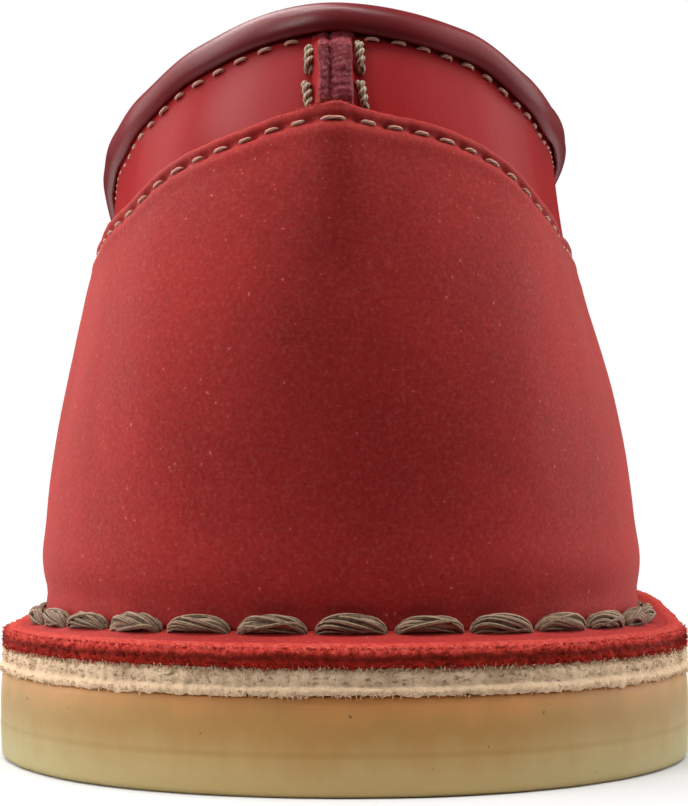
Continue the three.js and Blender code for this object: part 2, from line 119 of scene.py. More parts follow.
# at, axis, reach, outer_top, inner_top, rise, bulge, spread, drop, margin
SECTIONS = (
    (0, 42, 37.2, 77.1, 77.1, 22, 4.7, 9.6, 18.1, 9.3),
    (4, 42.3, 34, 74.5, 76, 21.7, 3.7, 7.5, 17.9, 8.9),
    (11, 42.9, 31.5, 71.4, 73.4, 21, 1.6, 4.2, 18.1, 8.5),
    (22, 44, 28, 69.6, 72, 20.5, 1.2, 0.4, 18.3, 8.2),
    (40, 46, 25.3, 68.2, 71.8, 20, 1.1, 0.8, 17.2, 8.1),
    (70, 66, 26.2, 65.4, 71.4, 19, 0.5, -0.6, 16, 7.9),
    (94, 91, 23, 70.6, 73.2, 22, 0.6, 3.4, 14, 7.6),
    (106, 104, 16, 77.5, 78.6, 25, 0.8, 9, 8, 7.3),
    (116, 115, 7, 85, 85.3, 28, 1, 13, 3.4, 7.2),
    (124, 124, 0, 88.2, 88.2, 29, 1, 17, 0, 7.1),
    (150, 150, 0, 77, 77, 28, 1.2, 19, 0, 6.8),
    (176, 175, 0, 67, 67, 25, 1.6, 22, 0, 6.5),
    (205, 201, 0, 58.5, 58.5, 22, 1.8, 25, 0, 6.4),
    (240, 230, 0, 51, 51, 19, 2, 24, 0, 6.3),
    (268, 248, 0, 47.3, 47.3, 18, 2, 18, 0, 6.3),
    (286, 256, 0, 45.7, 45.7, 17, 2, 15, 0, 6.3),
)
# at, height, outer, inner: the edge on the solid and how far the leather lies off it on each side
COUNTER_EDGE = (
    (0, 66.9, -0.45, -0.45),
    (1, 65.9, -0.65, 0.1),
    (4, 63.5, -0.35, 0.5),
    (9, 59.9, -0.2, 0.55),
    (20, 57, 1.0, 1.5),
    (45, 56.4, 2.0, 2.0),
    (80, 49, 1.0, 1.0),
    (106, 35, 0, 0),
    (124, 18.6, 0, 0),
)
# at, under, half
TONGUE = (
    (98, 7, 5),
    (101, 7, 7.6),
    (106, 6.8, 9),
    (112, 6.4, 9.5),
    (122, 5.4, 12),
    (132, 4, 16),
    (142, 3.4, 17),
    (170, 3.5, 18),
    (196, 3.7, 17),
)


def rail(places, values):
    """A monotone curve through values at places, level at both ends."""
    x, y = np.array(places, float), np.array(values, float)
    step = np.diff(y) / np.diff(x)
    same_way = step[:-1] * step[1:] > 0
    both = np.where(same_way, step[:-1] + step[1:], 1.0)
    slope = np.zeros_like(y)
    slope[1:-1] = np.where(same_way, 2 * step[:-1] * step[1:] / both, 0.0)

    def at(place):
        inside = np.clip(place, x[0], x[-1])
        i = np.clip(np.searchsorted(x, inside) - 1, 0, len(x) - 2)
        width = x[i + 1] - x[i]
        f = (inside - x[i]) / width
        g = 1 - f
        value = y[i] * g * g * (1 + 2 * f) + y[i + 1] * f * f * (3 - 2 * f)
        return value + width * f * g * (slope[i] * g - slope[i + 1] * f)

    return at


def station_of(y):
    """Place round the last, 0 at the back and 1 at the toe, of a distance along the foot."""
    return np.arccos(1 - 2 * np.asarray(y, float) / LAST_LENGTH) / np.pi


def station_y(u):
    return LAST_LENGTH * (1 - np.cos(np.pi * np.asarray(u, float))) / 2


def rails(rows, names, place=float):
    """One curve for each named column of a table, over the table's first column."""
    places = [place(row[0]) for row in rows]
    return {name: rail(places, [row[i + 1] for row in rows]) for i, name in enumerate(names)}


plan = rails(PLAN, ("centre", "outer", "inner"))
last = rails(
    SECTIONS,
    ("axis", "reach", "outer_top", "inner_top", "rise", "bulge", "spread", "drop", "margin"),
    station_of,
)
counter = rails(COUNTER_EDGE, ("height", "outer", "inner"))
tongue = rails(TONGUE, ("under", "half"))


def wrap(v):
    return np.where(v > 1, v - 2, np.where(v < -1, v + 2, v))


def lift(y):
    """Rise of the sole's layers toward the toe."""
    return TOE_SPRING * np.maximum(0, (y - SPRING_START) / (LAST_LENGTH + 6.3 - SPRING_START)) ** 2


def end_round(y):
    heel = np.maximum(0, 1 - y / HEEL_ROUND)
    toe = np.clip((y - LAST_LENGTH + TOE_ROUND) / TOE_ROUND, 0, 1)
    width = np.maximum(0, 1 - heel**HEEL_SQUARENESS) ** (1 / HEEL_SQUARENESS)
    return width * np.maximum(0, 1 - toe**TOE_SQUARENESS) ** (1 / TOE_SQUARENESS)


def foot(v):
    """Plan of the wall's foot on the feather line; v is negative on the outer side."""
    turn = wrap(np.asarray(v, float))
    y = station_y(np.abs(turn))
    half = np.where(turn < 0, -plan["outer"](y), plan["inner"](y))
    return np.stack([plan["centre"](y) + half * end_round(y), y], -1)


def unit(vectors):
    return vectors / np.linalg.norm(vectors, axis=-1, keepdims=True)


def across(v):
    """Outward direction over the feather line in plan."""
    along = unit(foot(v + 1e-4) - foot(v - 1e-4))
    return np.stack([along[..., 1], -along[..., 0]], -1)


def ridge_slope(u):
    ahead = np.minimum(u, 0.985) + 0.004
    behind = ahead - 0.008
    rise = last["inner_top"](ahead) - last["inner_top"](behind)
    return rise / (last["axis"](ahead) - last["axis"](behind))


def section(v):
    """Upright wall sections: plan origins, outward directions and four handles as distance and height."""
    turn = wrap(np.asarray(v, float))
    u = np.abs(turn)
    base = foot(turn)
    axis = last["axis"](u)
    origin = np.stack([plan["centre"](axis), axis], -1)
    width = np.linalg.norm(base - origin, axis=-1)
    out = (base - origin) / width[..., None]
    low = FEATHER + lift(base[..., 1])
    high = np.where(turn < 0, last["outer_top"](u), last["inner_top"](u))
    reach = last["reach"](u)
    spread = last["spread"](u)
    sink = np.where(reach == 0, spread * out[..., 1] * -ridge_slope(u), 0)
    distances = np.stack([width, width + last["bulge"](u), reach + spread, reach], -1)
    heights = np.stack([low, low + last["rise"](u), high - last["drop"](u) - sink, high], -1)
    return origin, out, distances, heights


def climb(distances, heights, t):
    g = 1 - t
    weights = np.stack([g * g * g, 3 * g * g * t, 3 * g * t * t, t * t * t], -1)
    return (distances * weights).sum(-1), (heights * weights).sum(-1)


def lean(z):
    return HEEL_LEAN * np.maximum(0, z - FEATHER)


def on_last(v, t):
    """Points of the last at places round it and fractions of the way up."""
    v, t = np.broadcast_arrays(np.asarray(v, float), np.asarray(t, float))
    origin, out, distances, heights = section(v)
    distance, z = climb(distances, heights, t)
    x = origin[..., 0] + out[..., 0] * distance - lean(z)
    return np.stack([x, origin[..., 1] + out[..., 1] * distance, z], -1)


def outward(v, t):
    v, t = np.broadcast_arrays(np.asarray(v, float), np.asarray(t, float))
    along = on_last(v + 2e-4, t) - on_last(v - 2e-4, t)
    up = on_last(v, t + 2e-4) - on_last(v, t - 2e-4)
    facing = np.cross(along, up)
    u = np.abs(wrap(v))
    ridge = (t > 0.999) & (last["reach"](u) == 0)
    crest = np.stack([np.zeros_like(v), -ridge_slope(u), np.ones_like(v)], -1)
    return unit(np.where(ridge[..., None], crest, facing))


def off_last(v, t, offset):
    offset = np.asarray(offset, float)
    return on_last(v, t) + outward(v, t) * offset[..., None]


def fraction_where(v, passed):
    """Fraction up each section where passed(distance, height) first holds."""
    distances, heights = section(v)[2:]
    low, high = np.zeros(np.shape(v)), np.ones(np.shape(v))
    for _ in range(34):
        middle = (low + high) / 2
        over = passed(*climb(distances, heights, middle))
        low, high = np.where(over, low, middle), np.where(over, middle, high)
    return (low + high) / 2


def at_height(v, height):
    return fraction_where(v, lambda distance, z: z >= height)


def at_reach(v, reach):
    return fraction_where(v, lambda distance, z: distance <= reach)


def on_sole(v, beyond, level):
    """Points of the sole's layers: a distance beyond the feather line at a level."""
    spot = foot(v) + across(v) * np.broadcast_to(beyond, np.shape(v))[..., None]
    return np.concatenate([spot, (level + lift(spot[..., 1]))[..., None]], -1)


def margin(v):
    """Width of the flange beyond the feather line, wider along the waist."""
    y = station_y(np.abs(wrap(v)))
    inner = 0.4 * smoothstep(y, 6, 24) * (1 - smoothstep(y, 40, 90)) + WAIST_FLARE[0] * bell(y - 70, 30)
    outer = WAIST_FLARE[1] * bell(y - 72, 30)
    return last["margin"](np.abs(wrap(v))) + np.where(wrap(v) > 0, inner, outer)


def curl(v):
    """How far the flange's edge turns up along the waist, more on the inner side."""
    return np.where(wrap(v) > 0, *WAIST_CURL) * bell(station_y(np.abs(wrap(v))) - 66, 27)


def flange_level(v, beyond):
    """Height of the flange's top: up from its brink, most at the back, then up the wall."""
    rise = 0.3 - 0.2 * smoothstep(station_y(np.abs(wrap(v))), 8, 40)
    brink, low = margin(v) - FLANGE_ROUND, FLANGE_TOP - 0.2
    root = low + rise * (brink - ROOT_END)
    inward = np.clip((ROOT_END - beyond) / (ROOT_END - ROOT_START), 0, 1)
    near_wall = root + (ROOT_TOP - root) * inward**1.6
    level = np.where(beyond > ROOT_END, low + rise * (brink - beyond), near_wall)
    return level + curl(v) * smoothstep(beyond, 3.5, brink)


def wall_top(v):
    """Top of the upper's wall: the collar, then the throat, then closed over the toes."""
    u = np.abs(v)
    y = station_y(u)
    f = np.maximum(0, (y - THROAT_END + THROAT_ROUND) / THROAT_ROUND)
    gap = LINING_GAP * np.sqrt(np.maximum(0, 1 - f * f))
    open_top = np.where(last["reach"](u) >= gap, 1.0, at_reach(v, gap))
    return np.where(y > THROAT_END - 1e-6, 1.0, open_top)


def facing_corner():
    """Place where the facing's edge meets the collar."""
    u = np.linspace(station_of(94), station_of(124), 4001)
    return float(np.interp(-FACING_GAP, -last["reach"](u), u))


CORNER = facing_corner()
VAMP_TOP = float(station_of(THROAT_END))
COUNTER_END = float(station_of(COUNTER_EDGE[-1][0]))


def quarter_front(d):
    """Place of a quarter's front edge, from the feather line up to its rounded throat corner."""
    f = np.maximum(0, (d - 0.86) / 0.14)
    corner = QUARTER_CORNER_ROUND * (1 - np.sqrt(1 - f * f))
    return station_of(QUARTER_FOOT + (QUARTER_CORNER - QUARTER_FOOT) * np.sin(np.pi * d / 2) - corner)


def quarter_rise(v, d):
    """Fraction up the last of a place that is d of the way up a quarter."""
    whole = last["reach"](np.abs(v)) >= FACING_GAP - 1e-6
    return np.where(whole, 1.0, at_reach(v, FACING_GAP)) * d + 0.004 * (1 - d)


def climb_rate(v, t):
    """Millimetres up the last for each whole fraction, just below a place."""
    return np.linalg.norm(on_last(v, t) - on_last(v, t - 0.01), axis=-1) / 0.01


def run_along(spots):
    """Length run up to each point of a line."""
    return np.concatenate([[0], np.cumsum(np.linalg.norm(np.diff(spots, axis=0), axis=-1))])


def read_along(places, run, values):
    """Points or directions of a line at places along its run."""
    return np.stack([np.interp(places, run, column) for column in values.T], -1)


def even_stations(count, start, end, beyond=0.0):
    """Places round the last that lie evenly along an outline."""
    v = np.linspace(start, end, 6001)
    run = run_along(foot(v) + across(v) * beyond)
    return np.interp(np.linspace(0, run[-1], count), run, v)


def frame_shift():
    """From the last's own origin to the frame's, which is the middle of the sole's outline."""
    v = np.concatenate([-np.linspace(0, 1, 27)[:0:-1], np.linspace(0, 1, 27)])
    rim = on_sole(v, last["margin"](np.abs(v)) + 0.35, 0.0)[:, :2]
    middle = (rim.min(0) + rim.max(0)) / 2
    return np.array([-middle[0], -middle[1], 0.0])


SHIFT = frame_shift()


def quarter_spot(v, t):
    """A spot on the outside of the quarters, in the frame's metres."""
    return tuple((off_last(v, t, QUARTER_OUT) + SHIFT) * MM)


def rough(points, size, seed=0.0):
    """Noise from -1 to 1 at points in millimetres, with features about size across."""
    flat = np.asarray(points, float).reshape(-1, 3) / size + seed
    return np.array([noise.noise(Vector(p)) for p in flat]).reshape(np.shape(points)[:-1])


def bell(x, width):
    return np.exp(-((x / width) ** 2))


def smoothstep(x, low, high):
    f = np.clip((x - low) / (high - low), 0, 1)
    return f * f * (3 - 2 * f)


def hexed(code):
    """An sRGB hex colour as linear red, green, blue and alpha."""
    parts = [int(code[i : i + 2], 16) / 255 for i in (1, 3, 5)]
    return tuple(c / 12.92 if c <= 0.04045 else ((c + 0.055) / 1.055) ** 2.4 for c in parts) + (1.0,)


def size(name, text, millimetres):
    return FloatProperty(name=name, description=text, default=millimetres * MM, min=0.0, unit="LENGTH")


def colour(name, text, code):
    return FloatVectorProperty(
        name=name, description=text, subtype="COLOR", size=4, min=0.0, max=1.0, default=hexed(code)
    )


class ShoeSizes(bpy.types.PropertyGroup):
    """Sizes that change the dressing and not the solids"""

    stitch_pitch: size("Stitch pitch", "Spacing of the fine running stitches", 3.05)
    counter_pitch: size("Counter stitch pitch", "Spacing of the stitches along the counter's edge", 3.08)
    stitch_length: size("Stitch length", "Thread that shows at each fine stitch", 1.75)
    thread_radius: size("Thread radius", "Half the thickness of the fine thread", 0.2)
    stitch_inset: size("Stitch inset", "Stitch line below a raw edge", 1.5)
    groove_depth: size("Stitch groove", "How far the thread pulls the leather in", 0.4)
    twine_pitch: size("Twine pitch", "Spacing of the stitches along the flange", 7.9)
    twine_length: size("Twine length", "Twine that shows at each flange stitch", 7.7)
    twine_radius: size("Twine radius", "Half the thickness of a flange stitch", 0.9)
    twine_strands: IntProperty(
        name="Twine strands", description="Strands laid in the flange twine", default=9, min=2
    )
    seam_twine_radius: size("Seam twine radius", "Half the thickness of one ply beside the back seam", 0.29)
    seam_swell: size("Seam swell", "How far the back seam lifts the counter over it", 1.7)
    lace_radius: size("Lace radius", "Half the thickness of the lace", 1.5)
    fray: size("Fray", "How far fibres stand out of raw edges", 0.34)
    nap: size("Nap", "Spacing of the tufts of the nap", 0.5)
    camera_distance: size("Camera distance", "From the sole's back edge to the lens", 190.0)
    camera_height: size("Camera height", "Of the lens above the floor", 27.4)


class ShoeColours(bpy.types.PropertyGroup):
    """Colours of the materials"""

    nubuck: colour("Nubuck", "Red nubuck of counter and vamp", "#AC2E2A")
    nubuck_deep: colour("Nubuck, deep", "Where the nap lies away from the light", "#8A201D")
    nubuck_pale: colour("Nubuck, worn", "Tips of the nap", "#E0A49C")
    quarter: colour("Quarter", "Smoother red leather of the quarters", "#9E2527")
    binding: colour("Binding", "Dark red leather folded over the collar", "#7C2528")
    raw_edge: colour("Raw edge", "Cut fibres of the leather", "#AA291C")
    raw_deep: colour("Raw edge, deep", "Dark band along the cut", "#741C11")
    seam: colour("Seam edge", "Cut faces of the back seam", "#7E2029")
    midsole: colour("Midsole", "Pressed cream fibre", "#D4B898")
    midsole_rim: colour("Midsole rim", "Paler lower ply", "#D6B897")
    crepe: colour("Crepe", "Amber rubber at mid height", "#AC8046")
    crepe_low: colour("Crepe, low", "Paler lower sheet", "#B89C66")
    # The crepe's browner top band, also painted lighter: painted light that makes up for the shade under the
    # midsole's overhang.
    crepe_top_lit: colour("Crepe, top", "Browner band under the midsole", "#C4864C")
    twine: colour("Twine", "Waxed sole twine", "#9C8166")
    thread: colour("Thread", "Fine stitching thread", "#D8A390")
    seam_twine: colour("Seam twine", "Pale twine beside the back seam", "#C2AE92")
    lining: colour("Lining", "Tan leather inside", "#B48A62")
    lace: colour("Lace", "Waxed cotton lace", "#6A4A3C")


def loft(rings, zones=None, cut=None, marks=None):
    """Quads laid through rings of points in millimetres, one row of a grid to each ring."""
    rows, columns = rings.shape[:2]
    sheet = bmesh.new()
    sheet.loops.layers.uv.new("UVMap")
    layers = {name: sheet.verts.layers.float.new(name) for name in marks or {}}
    bmesh.ops.create_grid(sheet, x_segments=columns - 1, y_segments=rows - 1, size=0.5, calc_uvs=True)
    unwanted = []
    for face in sheet.faces:
        middle = face.calc_center_median()
        i, j = int((middle.y + 0.5) * (rows - 1)), int((middle.x + 0.5) * (columns - 1))
        face.smooth = True
        if zones is not None:
            face.material_index = int(zones[i, j])
        if cut is not None and cut[i, j]:
            unwanted.append(face)
    placed = (rings + SHIFT) * MM
    for vert in sheet.verts:
        i, j = round((vert.co.y + 0.5) * (rows - 1)), round((vert.co.x + 0.5) * (columns - 1))
        vert.co = placed[i, j]
        for name, layer in layers.items():
            vert[layer] = marks[name][i, j]
    bmesh.ops.delete(sheet, geom=unwanted, context="FACES")
    return sheet


def level_marks(levels, columns):
    """One height mark to each ring of a loft."""
    return {"level": np.repeat(np.array(levels)[:, None], columns, 1)}


def close(sheet):
    """Joins the edges of a loft that meet and turns its faces outward."""
    bmesh.ops.remove_doubles(sheet, verts=sheet.verts, dist=WELD)
    bmesh.ops.dissolve_degenerate(sheet, edges=sheet.edges, dist=1e-6)
    bmesh.ops.recalc_face_normals(sheet, faces=sheet.faces)


def thicken(sheet, way, thickness, edge_zone):
    """Turns a laid-out face of leather the given way, then gives it thickness and its cut edge a zone."""
    bmesh.ops.recalc_face_normals(sheet, faces=sheet.faces)
    if sum(face.normal.dot(way) * face.calc_area() for face in sheet.faces) < 0:
        bmesh.ops.reverse_faces(sheet, faces=sheet.faces)
    bmesh.ops.remove_doubles(sheet, verts=sheet.verts, dist=WELD)
    rim = sheet.verts.layers.int.new("rim")
    for edge in sheet.edges:
        if edge.is_boundary:
            for vert in edge.verts:
                vert[rim] = 1
    bmesh.ops.solidify(sheet, geom=sheet.faces[:], thickness=thickness * MM)
    for face in sheet.faces:
        face.smooth = True
        if all(vert[rim] for vert in face.verts):
            face.material_index = edge_zone
    bmesh.ops.recalc_face_normals(sheet, faces=sheet.faces)


def make_piece(name, sheet, materials, slot, *nodes):
    """Turns a bmesh into a piece that rides with the shoe and stands for the solids named."""
    mesh = bpy.data.meshes.new(name)
    sheet.to_mesh(mesh)
    sheet.free()
    for material in materials:
        mesh.materials.append(material)
    piece = bpy.data.objects.new(name, mesh)
    bpy.context.scene.collection.objects.link(piece)
    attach(piece, "root")
    if nodes:
        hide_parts(*nodes)
    return piece


def feed(tree, node, inputs):
    """Gives a node's inputs values or links."""
    for name, value in inputs.items():
        if isinstance(value, bpy.types.NodeSocket):
            tree.links.new(value, node.inputs[name])
        else:
            node.inputs[name].default_value = value


def add_node(tree, kind, inputs=None, **settings):
    """Adds a node with its settings, and gives its inputs values or links."""
    node = tree.nodes.new(kind)
    for name, value in settings.items():
        setattr(node, name, value)
    feed(tree, node, inputs or {})
    return node


def per(millimetres):
    """Texture scale of a pattern whose features are so many millimetres apart."""
    return 1.0 / (millimetres * MM)


class Recipe:
    """A new material, and short ways to add the nodes that the materials share."""

    def __init__(self, name):
        self.material = bpy.data.materials.new(name)
        self.material.use_nodes = True
        self.tree = self.material.node_tree
        self.shader = self.tree.nodes["Principled BSDF"]
        self.place = add_node(self.tree, "ShaderNodeTexCoord").outputs["Object"]

    def level(self):
        """The height mark of the piece, about 0 at the foot of its cut and 1 at the top."""
        return add_node(self.tree, "ShaderNodeAttribute", attribute_name="level").outputs["Fac"]

    def upright(self, scale):
        """Places with their height scaled: less than 1 draws a pattern out upwards, more flattens it."""
        inputs = {"Vector": self.place, "Scale": (1.0, 1.0, scale)}
        return add_node(self.tree, "ShaderNodeMapping", inputs).outputs["Vector"]

    def apart(self, vector):
        return add_node(self.tree, "ShaderNodeSeparateXYZ", {"Vector": vector}).outputs

    def noise(self, spacing, detail, roughness=0.5, place=None):
        """Noise whose features are so many millimetres apart."""
        vector = self.place if place is None else place
        inputs = {"Vector": vector, "Scale": per(spacing), "Detail": detail, "Roughness": roughness}
        return add_node(self.tree, "ShaderNodeTexNoise", inputs).outputs["Fac"]

    def math(self, operation, *values):
        node = add_node(self.tree, "ShaderNodeMath", dict(enumerate(values)), operation=operation)
        return node.outputs["Value"]

    def added(self, value, weight, base):
        """A weighted value on top of another."""
        return self.math("MULTIPLY_ADD", value, weight, base)

    def away(self, value, level):
        """How far a value is from a level, either way."""
        return self.math("ABSOLUTE", self.math("SUBTRACT", value, level))

    def ranged(self, value, low, high, first=0.0, final=1.0, **settings):
        """A value carried from one range to another and held at both ends."""
        inputs = {"Value": value, "From Min": low, "From Max": high, "To Min": first, "To Max": final}
        return add_node(self.tree, "ShaderNodeMapRange", inputs, **settings).outputs["Result"]

    def mixed(self, share, under, over, **settings):
        """A share of one colour over another."""
        inputs = {0: share, 6: under, 7: over}
        return add_node(self.tree, "ShaderNodeMix", inputs, data_type="RGBA", **settings).outputs[2]

    def bump(self, height, strength, depth, under=None):
        """Relief so many millimetres deep, over another relief if there is one."""
        inputs = {"Height": height, "Strength": strength, "Distance": depth * MM}
        if under is not None:
            inputs["Normal"] = under
        return add_node(self.tree, "ShaderNodeBump", inputs).outputs["Normal"]

    def give(self, inputs):
        """Feeds the shader's own sockets and hands over the material."""
        feed(self.tree, self.shader, inputs)
        return self.material


def nubuck(name, tint, deep, pale, nap, gloss, worn_share):
    """Nubuck, grain leather sanded to a short nap: two-tone grain, hand-worn clouds, pale tips and lint."""
    recipe = Recipe(name)
    clouds = recipe.noise(14, 4.0, 0.6)
    grain = recipe.noise(nap, 3.0, 0.75)
    ground = recipe.mixed(recipe.ranged(recipe.added(grain, 1.5, clouds), 0.85, 1.65), deep, tint)
    specks = recipe.ranged(recipe.noise(0.42, 2.0, 0.6), 0.5, 0.82, 0.0, worn_share)
    lint = recipe.ranged(recipe.noise(0.5, 1.0), 0.75, 0.8, 0.0, worn_share * 4)
    return recipe.give(
        {
            "Base Color": recipe.mixed(lint, recipe.mixed(specks, ground, pale), pale),
            "Roughness": recipe.ranged(clouds, 0.3, 0.7, gloss, gloss + 0.12),
            "Normal": recipe.bump(grain, 0.3, 0.1, recipe.bump(clouds, 0.1, 1.0)),
            "Specular IOR Level": 0.12,
            "Sheen Weight": 0.1,
            "Sheen Roughness": 0.3,
            "Sheen Tint": hexed("#FFB4AC"),
        }
    )


def smooth_leather(name, tint, deep, grain, gloss, shine, rubbed=None):
    """Full-grain oiled leather: fine pebbled grain, slight clouding, a soft gloss that rubbing can raise."""
    recipe = Recipe(name)
    cloudy = recipe.ranged(recipe.noise(18, 4.0), 0.3, 0.7)
    cells = add_node(recipe.tree, "ShaderNodeTexVoronoi", {"Vector": recipe.place, "Scale": per(grain)})
    pores = recipe.noise(grain * 0.5, 3.0, 0.6)
    pebble = recipe.bump(cells.outputs["Distance"], 0.16, 0.06)
    recipe.give(
        {
            "Base Color": recipe.mixed(cloudy, deep, tint),
            "Normal": recipe.bump(pores, 0.2, 0.05, pebble),
            "Roughness": recipe.ranged(pores, 0.3, 0.7, gloss, gloss + 0.12),
            "Specular IOR Level": shine,
        }
    )
    if rubbed is not None:
        spot, near, far, polished = rubbed
        off = add_node(recipe.tree, "ShaderNodeVectorMath", {0: recipe.place, 1: spot}, operation="DISTANCE")
        polish = recipe.ranged(
            off.outputs["Value"], near * MM, far * MM, polished, shine, interpolation_type="SMOOTHSTEP"
        )
        recipe.give({"Specular IOR Level": polish})
    return recipe.material


def cut_leather(name, tint, deep, pale):
    """Cut edge of vegetable-tanned leather: matted fibres, a dark band along the cut, pale tips above it."""
    recipe = Recipe(name)
    fibres = recipe.noise(0.55, 4.0, 0.7)
    spread = recipe.added(fibres, 0.55, recipe.level())
    patchy = recipe.added(recipe.noise(2.6, 4.0, 0.65), 0.5, spread)
    # Both noises add about a half of their weight, so the dark band lies a little below the cut's middle.
    band = recipe.ranged(recipe.away(patchy, 0.9), 0.05, 0.3)
    upper = recipe.ranged(patchy, 1.02, 1.4, 0.0, 0.6)
    tips = recipe.ranged(fibres, 0.36, 0.64)
    frost = recipe.math("MULTIPLY", upper, tips)
    return recipe.give(
        {
            "Base Color": recipe.mixed(frost, recipe.mixed(band, deep, tint), pale),
            "Normal": recipe.bump(fibres, 0.9, 0.3),
            "Roughness": 0.85,
            "Specular IOR Level": 0.1,
        }
    )


def pressed_fibre(name, tint, rim, hollow_shade):
    """Pressed cellulose board: dull upright fibres over a paler ply at its foot, with painted shade darkening
    the hollows of its relief and drawing fine cracks above that ply.
    """
    recipe = Recipe(name)
    fibres = recipe.noise(0.55, 4.0, 0.7, recipe.upright(0.4))
    patches = recipe.noise(4.0, 4.0, 0.65)
    ragged = recipe.added(patches, 0.3, recipe.level())
    ground = recipe.mixed(recipe.ranged(ragged, 0.42, 0.56), rim, tint)
    matted = recipe.added(patches, 0.8, fibres)
    # Where the relief is low the colour darkens towards the dark brown: painted shade in the hollows.
    furrow_shaded = recipe.mixed(recipe.ranged(matted, 0.95, 0.6, 0.0, 0.34), ground, hollow_shade)
    # Cracks lie in the hollows of a flattened noise, most of them just over the lower ply; they are dark
    # lines of painted shade with no relief of their own.
    strata = recipe.noise(1.0, 3.0, 0.6, recipe.upright(2.2))
    line = recipe.ranged(strata, 0.34, 0.45, 1.0, 0.0)
    zone = recipe.ranged(recipe.away(ragged, 0.8), 0.12, 0.34, 0.8, 0.0)
    return recipe.give(
        {
            "Base Color": recipe.mixed(recipe.math("MULTIPLY", line, zone), furrow_shaded, hollow_shade),
            "Normal": recipe.bump(fibres, 0.85, 0.2, recipe.bump(patches, 0.3, 0.4)),
            "Roughness": 0.92,
            "Specular IOR Level": 0.1,
        }
    )


def crepe_rubber(name, middle, low, top, glue, speck):
    """Natural crepe rubber: waxy, slightly clear, amber with browner streaks, cut smooth at the edge."""
    recipe = Recipe(name)
    level = recipe.level()
    streaks = recipe.noise(3.4, 5.0, 0.65, recipe.upright(0.28))
    clouded = recipe.added(recipe.noise(13, 3.0, 0.55), 0.36, recipe.added(streaks, 0.42, level))
    body = recipe.mixed(recipe.ranged(clouded, 0.6, 1.02), low, middle)
    # The top band is the rubber's own browner colour, painted lighter to offset the shade under the midsole.
    tanned = recipe.mixed(recipe.ranged(clouded, 1.12, 1.36), body, top)
    # The two sheets meet 4 mm above the floor, 0.425 of the sole's height, and the glue shows between them.
    seam = recipe.ranged(recipe.away(level, 0.425), 0.0, 0.05, 0.3, 0.0)
    # Away from the heel's middle the rubber is greener, and it is also painted darker there: painted shade
    # that tones down the side lamps on the sole.
    aside = recipe.math("ABSOLUTE", recipe.apart(recipe.place)["X"])
    side_shade_and_green = recipe.ranged(aside, 10 * MM, 44 * MM)
    green_and_shade = (0.69, 0.87, 0.97, 1.0)
    greened_and_shaded = recipe.mixed(side_shade_and_green, recipe.mixed(seam, tanned, glue), green_and_shade, blend_type="MULTIPLY")
    specks = recipe.ranged(recipe.noise(0.9, 1.0), 0.78, 0.82, 0.0, 0.7)
    return recipe.give(
        {
            "Base Color": recipe.mixed(specks, greened_and_shaded, speck),
            "Normal": recipe.bump(recipe.noise(2.2, 4.0, 0.6), 0.09, 0.35),
            "Roughness": 0.55,
            "Specular IOR Level": 0.3,
            "Subsurface Weight": 0.3,
            "Subsurface Radius": (1.0, 0.55, 0.25),
            "Subsurface Scale": 3.0 * MM,
        }
    )


def spun_yarn(name, tint, deep, turns, strength):
    """Spun yarn under wax: fine ridges follow the lay of each strand, dull, with painted shade darkening the
    furrows between them.
    """
    recipe = Recipe(name)
    strand = recipe.apart(add_node(recipe.tree, "ShaderNodeUVMap", uv_map="UVMap").outputs["UV"])
    lay = recipe.added(strand["Y"], turns, strand["X"])
    wave = recipe.math("SINE", recipe.math("MULTIPLY", lay, YARN_RIDGES * 2 * math.pi))
    height = recipe.added(wave, 0.22, recipe.noise(0.4, 4.0, 0.7))
    return recipe.give(
        {
            # The deep colour fills the low parts of the ridges: painted shade in the furrows.
            "Base Color": recipe.mixed(recipe.ranged(height, 0.28, 0.66), deep, tint),
            "Normal": recipe.bump(height, strength, 0.15),
            "Roughness": 0.78,
            "Specular IOR Level": 0.25,
            "Sheen Weight": 0.15,
        }
    )


def made(name, builder, *values):
    """The material of that name, built at its first use."""
    return bpy.data.materials.get(name) or builder(name, *values)


def red_nubuck(context):
    colours, nap = context.scene.shoe_colours, context.scene.shoe_sizes.nap / MM
    shades = colours.nubuck, colours.nubuck_deep, colours.nubuck_pale
    return made("sanded_red_nubuck", nubuck, *shades, nap, 0.62, 0.085)


def red_quarter(context):
    # Handling has polished the outer quarter beside the back seam.
    beside = -station_of(0.8)
    rubbed = quarter_spot(beside, at_height(beside, 69.0)), 2, 9, 0.17
    shades = context.scene.shoe_colours.quarter, hexed("#922123")
    return made("oiled_red_leather", smooth_leather, *shades, 0.5, 0.3, 0.03, rubbed)


def tan_lining(context):
    tint = context.scene.shoe_colours.lining
    shade = tuple(c * 0.8 for c in tint[:3]) + (1.0,)
    return made("tan_lining_leather", smooth_leather, tint, shade, 0.8, 0.6, 0.3)


def raw_leather(context):
    colours = context.scene.shoe_colours
    return made("raw_leather_edge", cut_leather, colours.raw_edge, colours.raw_deep, hexed("#D2645C"))


def fibre_board(context):
    colours = context.scene.shoe_colours
    # 6E543E is the painted shade of the board's hollows and cracks.
    return made("pressed_fibre", pressed_fibre, colours.midsole, colours.midsole_rim, hexed("#6E543E"))


def layer_rings(v, profile, low_shares, high_shares):
    """Rings of a sole layer: from its middle line out underneath, up its side and in again on top."""
    side = [on_sole(v, beyond, level) for beyond, level in profile]
    y = foot(v)[:, 1]
    spine = np.stack([plan["centre"](y), y], -1)

    def inward(ring, level, share):
        spot = ring[:, :2] * share + spine * (1 - share)
        return np.column_stack([spot, level + lift(spot[:, 1])])

    low = [inward(side[0], np.mean(profile[0][1]), share) for share in low_shares]
    high = [inward(side[-1], np.mean(profile[-1][1]), share) for share in high_shares]
    return np.array(low + side + high)


